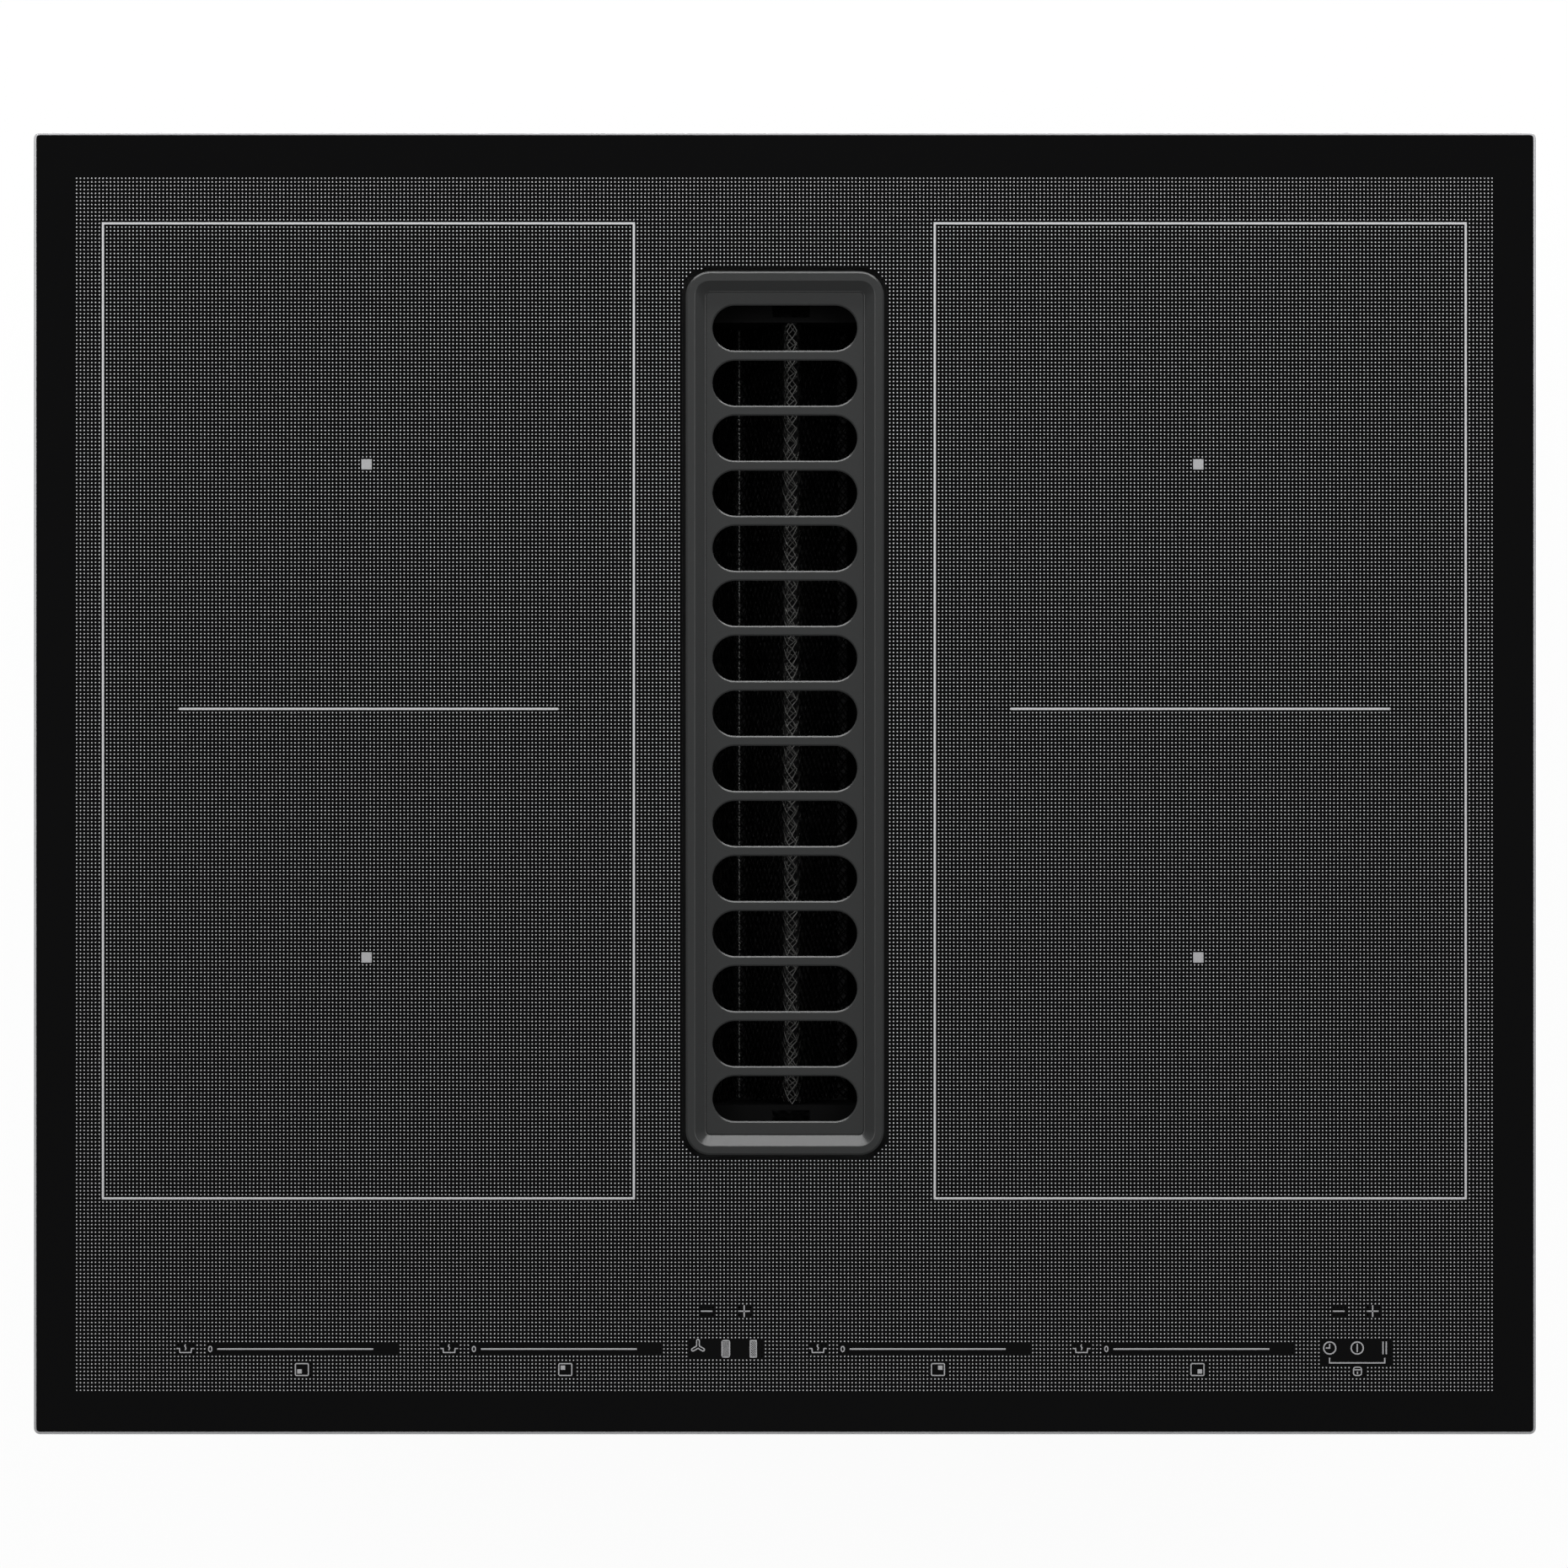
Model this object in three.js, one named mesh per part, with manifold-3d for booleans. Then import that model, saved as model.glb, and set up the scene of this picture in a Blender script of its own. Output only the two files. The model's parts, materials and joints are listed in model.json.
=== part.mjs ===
// Downdraft induction cooktop: a four-zone glass hob with an extractor in its middle.
// Millimetres. +X is the cook's right, +Y the back edge of the glass and +Z up.
// The origin is under the middle of the glass, on the flat underside of the air box.

import * as THREE from 'three';
import { mergeVertices } from 'three/addons/utils/BufferGeometryUtils.js';
import Module from 'manifold-3d';

const wasm = await Module();
wasm.setup();

// ---- Driving sizes ---------------------------------------------------------------------

const FIT = 0.3;                    // gap between a piece and what it is seated on
const ARC_STEPS = 2;                // an arc is drawn with twice as many facets
const ROUND_SIDES = 24;             // facets of a large round
const BITE = 1;                     // how far a cutter or a joined piece reaches past a face

// Glass, its metal edge and the seal under it
const HOB_WIDTH = 600;
const HOB_DEPTH = 520;
const GLASS_THICKNESS = 4;
const GLASS_CORNER_RADIUS = 1;
const TRIM_FACE = 0.8;
const TRIM_CORNER_RADIUS = 2.5;
const TRIM_LIP_WIDTH = 8;
const TRIM_LIP_THICKNESS = 1.2;
const SEAL_WIDTH = 8;
const SEAL_THICKNESS = 2.5;
const SEAL_INSET = 3;

// Intake grille
const GRILLE_WIDTH = 79.1;
const GRILLE_LENGTH = 352.8;
const GRILLE_CENTRE_Y = 28;
const GRILLE_CORNER_RADIUS = 9.8;
const GRILLE_PROUD = 2;
const GRILLE_GAP = 1.5;
const GRILLE_RIM = 3.6;
const GRILLE_SLOPE_WIDTH = 4.2;
const GRILLE_SINK = 3.5;
const GRILLE_FLOOR = 2.5;
const GRILLE_SKIRT_WALL = 2.2;
const GRILLE_EDGE_CHAMFER = 0.6;
const SLOT_PITCH = 22;
const SLOT_WIDTH = 18.1;
const SLOT_SIDE_MARGIN = 2.8;
const SLOT_END_MARGIN = 4;

// Intake well: a mouth for the grille, a bay for the grease filter and one for the carbon
const WELL_WALL = 2.5;
const WELL_FLANGE_WIDTH = 9;
const WELL_FLANGE_THICKNESS = 2;
const WELL_MOUTH_DEPTH = 3;
const WELL_LEDGE = 3.5;
const GRILLE_SEAT = 2.05;
const GREASE_BAY_DEPTH = 10.3;
const GREASE_BAY_RADIUS = 8;

// Grease filter: a deck with a W-folded mesh hung between two end plates
const FILTER_PLAY = 0.5;
const DECK_THICKNESS = 1.6;
const DECK_END = 15.5;
const DECK_SIDE = 3.2;
const PLEAT_DEPTH = 42;
const PLEAT_SHEET = 2.4;
const PLEAT_RIDGE_OFFSET = 2.5;
const PLEAT_VALLEY_OFFSET = 21;
const PLEAT_FLAT = 2;
const END_PLATE = 1.2;
const GRIP_WIDTH = 15;
const GRIP_LENGTH = 9;

// Carbon filter
const CARBON_HEIGHT = 38;
const CARBON_WALL = 2;
const CARBON_RIB = 1.6;
const CARBON_RIB_HEIGHT = 3;
const CARBON_RIB_RECESS = 0.5;
const CARBON_RIB_PITCH = 48;
const STACK_GAP = 6;

// Steel casing of the induction unit
const CASING_SIDE_INSET = 22;
const CASING_END_INSET = 19;
const CASING_HEIGHT = 57;
const CASING_CORNER_RADIUS = 6;
const CASING_FLANGE = 7;
const SHEET = 1.2;
const COLLAR_HEIGHT = 8;
const VENT_WIDTH = 3.2;
const VENT_HEIGHT = 26;
const VENT_PITCH = 12;
const VENTS_PER_BANK = 6;
const GUARD_BAR = 3;
const GUARD_OPENING = 7;

// Coils and what carries them
const COIL_DIAMETER = 180;
const COIL_BORE = 46;
const COIL_HEIGHT = 7;
const COIL_SIDE_MARGIN = 21;
const COIL_BACK_SHARE = 0.388;      // of the spare depth, how much is behind the coils
const COIL_ROW_PITCH = 197;
const CARRIER_DISC = 2;
const CARRIER_EDGE = 2;
const CARRIER_BORE_GAP = 4;
const FERRITE_COUNT = 8;
const FERRITE_WIDTH = 13;
const FERRITE_HEIGHT = 3;
const FERRITE_START = 8;
const FERRITE_END = 3;
const PAD_LAP = 1;
const SENSOR_RADIUS = 7;
const SENSOR_STEM_RADIUS = 3.8;
const SENSOR_FOOT = 3;
const SHELF_THICKNESS = 1.5;
const SHELF_HEIGHT = 34;
const SHELF_MARGIN = 6;
const SHELF_LEG = 8;
const SHELF_CLEARANCE = 2.5;
const SHELF_LAP = 1;
const CABLE_HOLE_RADIUS = 9;

// Electronics
const BOARD_THICKNESS = 1.6;
const BOARD_WIDTH = 176;
const BOARD_LENGTH = 290;
const BOARD_STANDOFF = 4;
const STANDOFF_RADIUS = 3;
const STANDOFF_MARGIN = 6;
const HEATSINK_WIDTH = 46;
const HEATSINK_LENGTH = 210;
const HEATSINK_HEIGHT = 20;
const HEATSINK_BASE = 4;
const FIN_COUNT = 9;
const FIN_THICKNESS = 1.6;
const CAPACITOR_RADIUS = 10;
const CAPACITOR_HEIGHT = 18;
const CAPACITOR_MARGIN = 18;
const CAPACITOR_SPACING = 26;
const CHOKE_WIDTH = 28;
const CHOKE_LENGTH = 44;
const CHOKE_MARGIN = 8;
const TOUCH_END_MARGIN = 28.8;
const TOUCH_BOARD_WIDTH = 38;
const TOUCH_CARRIER_DEPTH = 8;
const TOUCH_CARRIER_WALL = 2;

// Electronics cooling fans
const FAN_SIZE = 80;
const FAN_HEIGHT = 20;
const FAN_BORE_RADIUS = 37.5;
const FAN_TIP_GAP = 1.5;
const FAN_HUB_RADIUS = 15;
const FAN_BLADES = 7;
const FAN_BLADE_CHORD = 14;
const FAN_BLADE_SHEET = 1.3;
const FAN_BLADE_PITCH = 38;
const FAN_STRUT = 3;
const FAN_SIDE_MARGIN = 74;
const FAN_FRONT_MARGIN = 42;

// Terminal box with an empty cable gland
const TERMINAL_WIDTH = 92;
const TERMINAL_DEPTH = 64;
const TERMINAL_HEIGHT = 36;
const TERMINAL_WALL = 2.4;
const TERMINAL_INSET = 30;
const GLAND_RADIUS = 11;
const GLAND_BORE = 6.5;
const GLAND_LENGTH = 17;

// Spring clamps that hold the hob in the worktop
const CLAMP_WIDTH = 24;
const CLAMP_SHEET = 1.2;
const CLAMP_HEIGHT = 38;
const CLAMP_BULGE = 6;
const CLAMP_TOP_GAP = 4;
const CLAMP_BEND = 1.5;
const CLAMP_END_MARGIN = 51;

// Air box under the casing
const AIR_BOX_HEIGHT = 148;
const AIR_BOX_WALL = 2.5;
const AIR_BOX_SIDE_INSET = 6;
const AIR_BOX_BACK_INSET = 5;
const AIR_BOX_RADIUS = 12;
const AIR_BOX_SKIRT = 4;
const LID_THICKNESS = 3;
const COLLECTOR_MARGIN = 25;
const COLLECTOR_END_MARGIN = 9;
const RIB_PITCH = 52;
const RIB_DEPTH = 2;
const RIB_WIDTH = 2.4;
const SERVICE_WIDTH = 86;
const SERVICE_LENGTH = 230;
const SERVICE_PLATE = 2;
const SERVICE_LAP = 8;

// Blower
const IMPELLER_RADIUS = 75;
const IMPELLER_HEIGHT = 63;
const BLADE_COUNT = 26;
const BLADE_DEPTH = 15;
const BLADE_THICKNESS = 1.4;
const SHROUD_HEIGHT = 2.4;
const IMPELLER_PLATE = 2;
const SCROLL_WALL = 2;
const BOSS_RADIUS = 6;
const SCROLL_HEIGHT = 80;
const SCROLL_CLEARANCE = 7;
const SCROLL_GROWTH = 33;
const SCROLL_MARGIN = 3;
const SCROLL_RISE = 5.5;
const TONGUE_ANGLE = THREE.MathUtils.degToRad(70);
const BLOWER_CENTRE_Y = 15;
const BLOWER_FRONT_MARGIN = 9;
const INLET_RADIUS = 57;
const BELL_DEPTH = 8;
const MOTOR_RADIUS = 36;
const MOTOR_HEIGHT = 36;
const MOTOR_SHOULDER = 6;
const SHAFT_LENGTH = 12;
const SHAFT_RADIUS = 4;
const MOUNT_THICKNESS = 2;
const MOUNT_REACH = 54;
const MOUNT_ARM = 14;
const BUSH_RADIUS = 6;
const BUSH_RISE = 3;
const IMPELLER_LIFT = 5;

// Outlet for a flat duct
const OUTLET_WIDTH = 217;
const DUCT_WALL = 2.5;
const DUCT_LENGTH = 16;
const DUCT_FLANGE = 9;

// ---- Heights and places worked out from them -------------------------------------------

const lidTop = AIR_BOX_HEIGHT;
const lidBottom = lidTop - LID_THICKNESS;
const casingBottom = lidTop + FIT;
const casingFloor = casingBottom + SHEET;
const casingTop = casingBottom + CASING_HEIGHT;
const glassBottom = casingTop + FIT;
const glassTop = glassBottom + GLASS_THICKNESS;

const glassWidth = HOB_WIDTH - 2 * (TRIM_FACE + FIT);
const glassDepth = HOB_DEPTH - 2 * (TRIM_FACE + FIT);
const lipTop = glassBottom - FIT;
const lipBottom = lipTop - TRIM_LIP_THICKNESS;
const casingWidth = HOB_WIDTH - 2 * CASING_SIDE_INSET;
const casingDepth = HOB_DEPTH - 2 * CASING_END_INSET;

const rimTop = glassTop + GRILLE_PROUD;
const grilleFloorTop = rimTop - GRILLE_SINK;
const grilleFloorBottom = grilleFloorTop - GRILLE_FLOOR;
const trayInset = GRILLE_RIM + GRILLE_SLOPE_WIDTH;

const mouth = footprint(GRILLE_WIDTH + 2 * GRILLE_GAP, GRILLE_LENGTH + 2 * GRILLE_GAP, GRILLE_CORNER_RADIUS);
const greaseBay = footprint(GRILLE_WIDTH - 2 * GRILLE_SEAT, GRILLE_LENGTH - 2 * GRILLE_SEAT, GREASE_BAY_RADIUS);
const carbonBay = inset(greaseBay, WELL_LEDGE);
const wellOutlet = inset(carbonBay, WELL_LEDGE);
const wellNeck = inset(carbonBay, -WELL_WALL);
const wellTop = glassBottom - FIT;
const grilleLedge = wellTop - WELL_MOUTH_DEPTH;
const greaseLedge = grilleLedge - GREASE_BAY_DEPTH;
const deckBottom = greaseLedge + FIT;
const deckTop = deckBottom + DECK_THICKNESS;
const pleatBottom = deckTop - PLEAT_DEPTH;
const carbonBottom = pleatBottom - STACK_GAP - CARBON_HEIGHT;
const carbonLedge = carbonBottom - FIT;
const wellBottom = carbonLedge - WELL_WALL;

const casingInnerX = casingWidth / 2 - SHEET;
const casingInnerY = casingDepth / 2 - SHEET;
const shelfBottom = casingFloor + SHELF_HEIGHT;
const shelfTop = shelfBottom + SHELF_THICKNESS;
const touchFront = -(casingInnerY - FIT - 2 * TOUCH_CARRIER_WALL);
const touchBack = touchFront + TOUCH_BOARD_WIDTH;
const touchBoardLength = 2 * (casingInnerX - TOUCH_END_MARGIN);
const coilRoom = casingInnerY - touchBack - FIT - TOUCH_CARRIER_WALL;
const spareDepth = coilRoom - COIL_ROW_PITCH - COIL_DIAMETER;
const coilX = casingInnerX - COIL_SIDE_MARGIN - COIL_DIAMETER / 2;
const coilBackY = casingInnerY - spareDepth * COIL_BACK_SHARE - COIL_DIAMETER / 2;
const coilFrontY = coilBackY - COIL_ROW_PITCH;
const boardX = (casingInnerX + mouth.width / 2) / 2;
const boardY = casingInnerY - SHELF_MARGIN * 2 - BOARD_LENGTH / 2;

const boxFloorBottom = AIR_BOX_SKIRT;
const boxFloorTop = boxFloorBottom + AIR_BOX_WALL;
const boxRight = casingWidth / 2 - AIR_BOX_SIDE_INSET;
const boxBack = casingDepth / 2 - AIR_BOX_BACK_INSET;
const collectorX = wellNeck.width / 2 + COLLECTOR_MARGIN;
const boxFront = GRILLE_CENTRE_Y - wellNeck.length / 2 - COLLECTOR_END_MARGIN;

const scrollStart = IMPELLER_RADIUS + SCROLL_CLEARANCE;
const scrollEnd = scrollStart + SCROLL_GROWTH;
const scrollBottom = boxFloorTop + SCROLL_RISE;
const scrollFloor = scrollBottom + SCROLL_WALL;
const scrollTop = scrollFloor + SCROLL_HEIGHT;
const coverBottom = scrollTop + FIT;
const coverTop = coverBottom + SCROLL_WALL;
const blowerX = boxRight - AIR_BOX_WALL - SCROLL_MARGIN - SCROLL_WALL - scrollEnd;
const blowerFront = BLOWER_CENTRE_Y - scrollEnd - BLOWER_FRONT_MARGIN;
const outletRight = blowerX + scrollEnd;
const outletLeft = outletRight - OUTLET_WIDTH;
const outletEnd = boxBack + FIT + 2 * DUCT_WALL;
const mountTop = scrollFloor + FIT + MOUNT_THICKNESS;
const impellerBottom = mountTop + IMPELLER_LIFT;
const impellerTop = impellerBottom + IMPELLER_HEIGHT;

const fanX = casingInnerX - FAN_SIDE_MARGIN - FAN_SIZE / 2;
const fanY = -(casingInnerY - FAN_FRONT_MARGIN - FAN_SIZE / 2);

// ---- Solids: small tools ---------------------------------------------------------------

/** Width, length and corner radius of a hole or a plate round the well. */
function footprint(width, length, radius) {
  return { width, length, radius };
}

/** The same footprint drawn in by `by` on every side. */
function inset(shape, by) {
  return footprint(shape.width - 2 * by, shape.length - 2 * by, Math.max(shape.radius - by, 1));
}

/** Turn a closed three.js geometry into a solid that can be cut and joined. */
function toSolid(geometry) {
  const bare = geometry.clone();
  bare.deleteAttribute('normal');
  bare.deleteAttribute('uv');
  const merged = mergeVertices(bare, 1e-4);
  return new wasm.Manifold(new wasm.Mesh({
    numProp: 3,
    vertProperties: new Float32Array(merged.attributes.position.array),
    triVerts: new Uint32Array(merged.index.array),
  }));
}

/** Turn a solid back into a three.js geometry. */
function toGeometry(solid) {
  const mesh = solid.getMesh();
  const geometry = new THREE.BufferGeometry();
  geometry.setAttribute('position', new THREE.BufferAttribute(mesh.vertProperties, 3));
  geometry.setIndex(new THREE.BufferAttribute(mesh.triVerts, 1));
  geometry.computeVertexNormals();
  return geometry;
}

/** Join any number of solids. */
function join(...solids) {
  return solids.reduce((whole, piece) => whole.add(piece));
}

/** Cut any number of solids out of the first. */
function cut(solid, ...cutters) {
  return cutters.reduce((rest, cutter) => rest.subtract(cutter), solid);
}

/** Outline of a rectangle with round corners, centred on (x, y). */
function roundedRectangle({ width, length, radius }, x = 0, y = 0) {
  const halfX = width / 2;
  const halfY = length / 2;
  const r = Math.min(radius, halfX - 0.01, halfY - 0.01);
  const outline = new THREE.Shape();
  outline.moveTo(x + halfX - r, y - halfY);
  outline.absarc(x + halfX - r, y - halfY + r, r, -Math.PI / 2, 0, false);
  outline.absarc(x + halfX - r, y + halfY - r, r, 0, Math.PI / 2, false);
  outline.absarc(x - halfX + r, y + halfY - r, r, Math.PI / 2, Math.PI, false);
  outline.absarc(x - halfX + r, y - halfY + r, r, Math.PI, Math.PI * 1.5, false);
  return outline;
}

/** Outline through straight corners. */
function polygon(points) {
  return new THREE.Shape(points.map(([x, y]) => new THREE.Vector2(x, y)));
}

/** Outline through corners that are each rounded by the radius that goes with them. */
function filletedPolygon(corners, radii) {
  const outline = new THREE.Shape();
  const count = corners.length;
  const points = corners.map(([x, y]) => new THREE.Vector2(x, y));
  points.forEach((corner, i) => {
    const back = points[(i + count - 1) % count].clone().sub(corner).normalize();
    const ahead = points[(i + 1) % count].clone().sub(corner).normalize();
    const start = corner.clone().addScaledVector(back, radii[i]);
    const end = corner.clone().addScaledVector(ahead, radii[i]);
    const centre = start.clone().addScaledVector(ahead, radii[i]);
    const from = Math.atan2(start.y - centre.y, start.x - centre.x);
    const to = Math.atan2(end.y - centre.y, end.x - centre.x);
    outline.absarc(centre.x, centre.y, radii[i], from, to, back.cross(ahead) > 0);
  });
  return outline;
}

/** A flat piece with the given outline, between two heights. */
function slab(outline, low, high, steps = ARC_STEPS) {
  const geometry = new THREE.ExtrudeGeometry(outline, {
    depth: high - low,
    bevelEnabled: false,
    curveSegments: steps,
  });
  return toSolid(geometry.translate(0, 0, low));
}

/** A box between two corners. */
function block([x0, y0, z0], [x1, y1, z1]) {
  const geometry = new THREE.BoxGeometry(x1 - x0, y1 - y0, z1 - z0);
  return toSolid(geometry.translate((x0 + x1) / 2, (y0 + y1) / 2, (z0 + z1) / 2));
}

/** A cylinder standing on its lower height. */
function post(x, y, radius, low, high, sides = ROUND_SIDES) {
  const geometry = new THREE.CylinderGeometry(radius, radius, high - low, sides);
  return toSolid(geometry.rotateX(Math.PI / 2).translate(x, y, (low + high) / 2));
}

/** A revolved piece about the Z axis; the profile is [radius, height] pairs. */
function revolve(profile, sides = ROUND_SIDES) {
  const closed = profile[0][0] > 0 ? [...profile, profile[0]] : profile;
  const points = closed.map(([r, z]) => new THREE.Vector2(r, z));
  return toSolid(new THREE.LatheGeometry(points, sides).rotateX(Math.PI / 2));
}

/** A profile drawn in the XZ plane and run along Y between two places. */
function alongY(outline, front, back, steps = ARC_STEPS) {
  const geometry = new THREE.ExtrudeGeometry(outline, {
    depth: back - front,
    bevelEnabled: false,
    curveSegments: steps,
  });
  return toSolid(geometry.rotateX(Math.PI / 2).translate(0, back, 0));
}

/** A closed skin over rings that have the same number of points, all convex. */
function loft(rings) {
  const size = rings[0].length;
  const positions = rings.flat().flatMap((p) => [p.x, p.y, p.z]);
  const faces = [];
  for (let level = 0; level < rings.length - 1; level += 1) {
    for (let i = 0; i < size; i += 1) {
      const a = level * size + i;
      const b = level * size + ((i + 1) % size);
      faces.push(a, b, b + size, a, b + size, a + size);
    }
  }
  const last = (rings.length - 1) * size;
  for (let i = 1; i < size - 1; i += 1) {
    faces.push(0, i + 1, i);
    faces.push(last, last + i, last + i + 1);
  }
  const geometry = new THREE.BufferGeometry();
  geometry.setAttribute('position', new THREE.Float32BufferAttribute(positions, 3));
  geometry.setIndex(faces);
  return toSolid(geometry);
}

/** The points of a rounded rectangle at one height, for a loft. */
function ringAt(shape, z, x = 0, y = 0, steps = ARC_STEPS) {
  const flat = roundedRectangle(shape, x, y).getPoints(steps);
  if (flat[0].distanceTo(flat[flat.length - 1]) < 1e-6) flat.pop();
  return flat.map((p) => new THREE.Vector3(p.x, p.y, z));
}

/** The outline of a folded sheet that follows a line of points and has one thickness. */
function foldedSheet(points, thickness) {
  const line = points.map(([x, z]) => new THREE.Vector2(x, z));
  const normals = line.slice(1).map((end, i) => {
    const run = end.clone().sub(line[i]).normalize();
    return new THREE.Vector2(run.y, -run.x);
  });
  const far = line.map((point, i) => {
    const before = normals[Math.max(i - 1, 0)];
    const after = normals[Math.min(i, normals.length - 1)];
    const mitre = before.clone().add(after);
    return point.clone().addScaledVector(mitre, thickness / (1 + before.dot(after)));
  });
  return new THREE.Shape([...line.reverse(), ...far]);
}

/** Put copies of a solid at a list of [x, y] places. */
function copies(solid, places) {
  return places.map(([x, y]) => solid.translate([x, y, 0]));
}

// ---- Scene graph -----------------------------------------------------------------------

const FINISH = {
  glass: { color: 0x101011, roughness: 0.12, metalness: 0 },
  brushedEdge: { color: 0xb9bbbd, roughness: 0.3, metalness: 1 },
  grille: { color: 0x3c3e3e, roughness: 0.6, metalness: 0.2 },
  foam: { color: 0x1c1c1e, roughness: 0.95, metalness: 0 },
  darkPlastic: { color: 0x1d1f21, roughness: 0.6, metalness: 0 },
  greyPlastic: { color: 0x2f3235, roughness: 0.65, metalness: 0 },
  filterMesh: { color: 0x9a9da0, roughness: 0.35, metalness: 1 },
  zincSheet: { color: 0xa7abad, roughness: 0.45, metalness: 0.9 },
  aluminium: { color: 0xb4b7b9, roughness: 0.4, metalness: 0.9 },
  copper: { color: 0xb06a3a, roughness: 0.4, metalness: 0.8 },
  ceramicWool: { color: 0xd9d7cf, roughness: 0.95, metalness: 0 },
  circuitBoard: { color: 0x1e5a3a, roughness: 0.5, metalness: 0 },
  carbon: { color: 0x141414, roughness: 1, metalness: 0 },
  motorSteel: { color: 0x6d7276, roughness: 0.45, metalness: 0.9 },
};

const cooktop = new THREE.Group();
const hobTop = new THREE.Group();
const inductionUnit = new THREE.Group();
const extraction = new THREE.Group();
cooktop.add(hobTop, inductionUnit, extraction);

/** Hang a named piece with its finish in a group. */
function place(group, name, solid, finish) {
  const mesh = new THREE.Mesh(toGeometry(solid), new THREE.MeshStandardMaterial(FINISH[finish]));
  mesh.name = name;
  group.add(mesh);
  return mesh;
}

// ---- Glass top, edge trim and seal -----------------------------------------------------

function glassTopSolid() {
  const outline = roundedRectangle(footprint(glassWidth, glassDepth, GLASS_CORNER_RADIUS));
  outline.holes.push(roundedRectangle(mouth, 0, GRILLE_CENTRE_Y));
  return slab(outline, glassBottom, glassTop);
}

function edgeTrimSolid() {
  const outer = roundedRectangle(footprint(HOB_WIDTH, HOB_DEPTH, TRIM_CORNER_RADIUS));
  const pocket = footprint(glassWidth + 2 * FIT, glassDepth + 2 * FIT, GLASS_CORNER_RADIUS);
  return cut(
    slab(outer, lipBottom, glassTop),
    slab(roundedRectangle(pocket), lipTop, glassTop + BITE),
    slab(roundedRectangle(inset(pocket, TRIM_LIP_WIDTH)), lipBottom - BITE, glassTop + BITE),
  );
}

function worktopSealSolid() {
  const outer = footprint(HOB_WIDTH - 2 * SEAL_INSET, HOB_DEPTH - 2 * SEAL_INSET, TRIM_CORNER_RADIUS);
  const ring = roundedRectangle(outer);
  ring.holes.push(roundedRectangle(inset(outer, SEAL_WIDTH)));
  return slab(ring, lipBottom - FIT - SEAL_THICKNESS, lipBottom - FIT);
}

place(hobTop, 'glass_top', glassTopSolid(), 'glass');
place(hobTop, 'edge_trim', edgeTrimSolid(), 'brushedEdge');
place(hobTop, 'worktop_seal', worktopSealSolid(), 'foam');

// ---- Intake grille: a dished casting with a row of stadium slots ------------------------

/** Centres of the slots along Y: as many as the sunken floor takes at their pitch. */
function slotPlaces() {
  const run = GRILLE_LENGTH - 2 * (trayInset + SLOT_END_MARGIN) - SLOT_WIDTH;
  const gaps = Math.floor(run / SLOT_PITCH);
  const first = GRILLE_CENTRE_Y - (gaps * SLOT_PITCH) / 2;
  return Array.from({ length: gaps + 1 }, (_, i) => first + i * SLOT_PITCH);
}

/** One slot cutter with straight walls and round ends. */
function slotCutter(y) {
  const length = GRILLE_WIDTH - 2 * (trayInset + SLOT_SIDE_MARGIN);
  const slot = roundedRectangle(footprint(length, SLOT_WIDTH, SLOT_WIDTH / 2), 0, y);
  return slab(slot, grilleFloorBottom - BITE, grilleFloorTop + BITE);
}

function grilleSolid() {
  const outer = footprint(GRILLE_WIDTH, GRILLE_LENGTH, GRILLE_CORNER_RADIUS);
  const rimInner = inset(outer, GRILLE_RIM);
  const floor = inset(outer, trayInset);
  const underside = inset(outer, GRILLE_SKIRT_WALL);
  const y = GRILLE_CENTRE_Y;
  const body = loft([
    ringAt(outer, grilleLedge + FIT, 0, y),
    ringAt(outer, rimTop - GRILLE_EDGE_CHAMFER, 0, y),
    ringAt(inset(outer, GRILLE_EDGE_CHAMFER), rimTop, 0, y),
  ]);
  const tray = loft([
    ringAt(floor, grilleFloorTop, 0, y),
    ringAt(rimInner, rimTop, 0, y),
    ringAt(rimInner, rimTop + BITE, 0, y),
  ]);
  const pocket = slab(roundedRectangle(underside, 0, y), grilleLedge - BITE, grilleFloorBottom);
  return cut(body, tray, pocket, ...slotPlaces().map(slotCutter));
}

place(hobTop, 'grille', grilleSolid(), 'grille');

// ---- Intake well and the two filters that hang in it ------------------------------------

function intakeWellSolid() {
  const y = GRILLE_CENTRE_Y;
  const upper = inset(greaseBay, -WELL_WALL);
  const shell = join(
    slab(roundedRectangle(inset(mouth, -WELL_FLANGE_WIDTH), 0, y), wellTop - WELL_FLANGE_THICKNESS, wellTop),
    slab(roundedRectangle(inset(mouth, -WELL_WALL), 0, y), grilleLedge - WELL_WALL, wellTop),
    slab(roundedRectangle(upper, 0, y), greaseLedge - WELL_WALL, wellTop - WELL_MOUTH_DEPTH),
    slab(roundedRectangle(wellNeck, 0, y), wellBottom, greaseLedge),
  );
  return cut(
    shell,
    slab(roundedRectangle(mouth, 0, y), grilleLedge, wellTop + BITE),
    slab(roundedRectangle(greaseBay, 0, y), greaseLedge, wellTop),
    slab(roundedRectangle(carbonBay, 0, y), carbonLedge, grilleLedge),
    slab(roundedRectangle(wellOutlet, 0, y), wellBottom - BITE, greaseLedge),
  );
}

const deck = inset(greaseBay, FILTER_PLAY);
const meshHalf = deck.width / 2 - DECK_SIDE - FIT;
const meshFront = GRILLE_CENTRE_Y - deck.length / 2 + DECK_END + END_PLATE + FIT;
const meshBack = GRILLE_CENTRE_Y + deck.length / 2 - DECK_END - END_PLATE - FIT;

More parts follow.
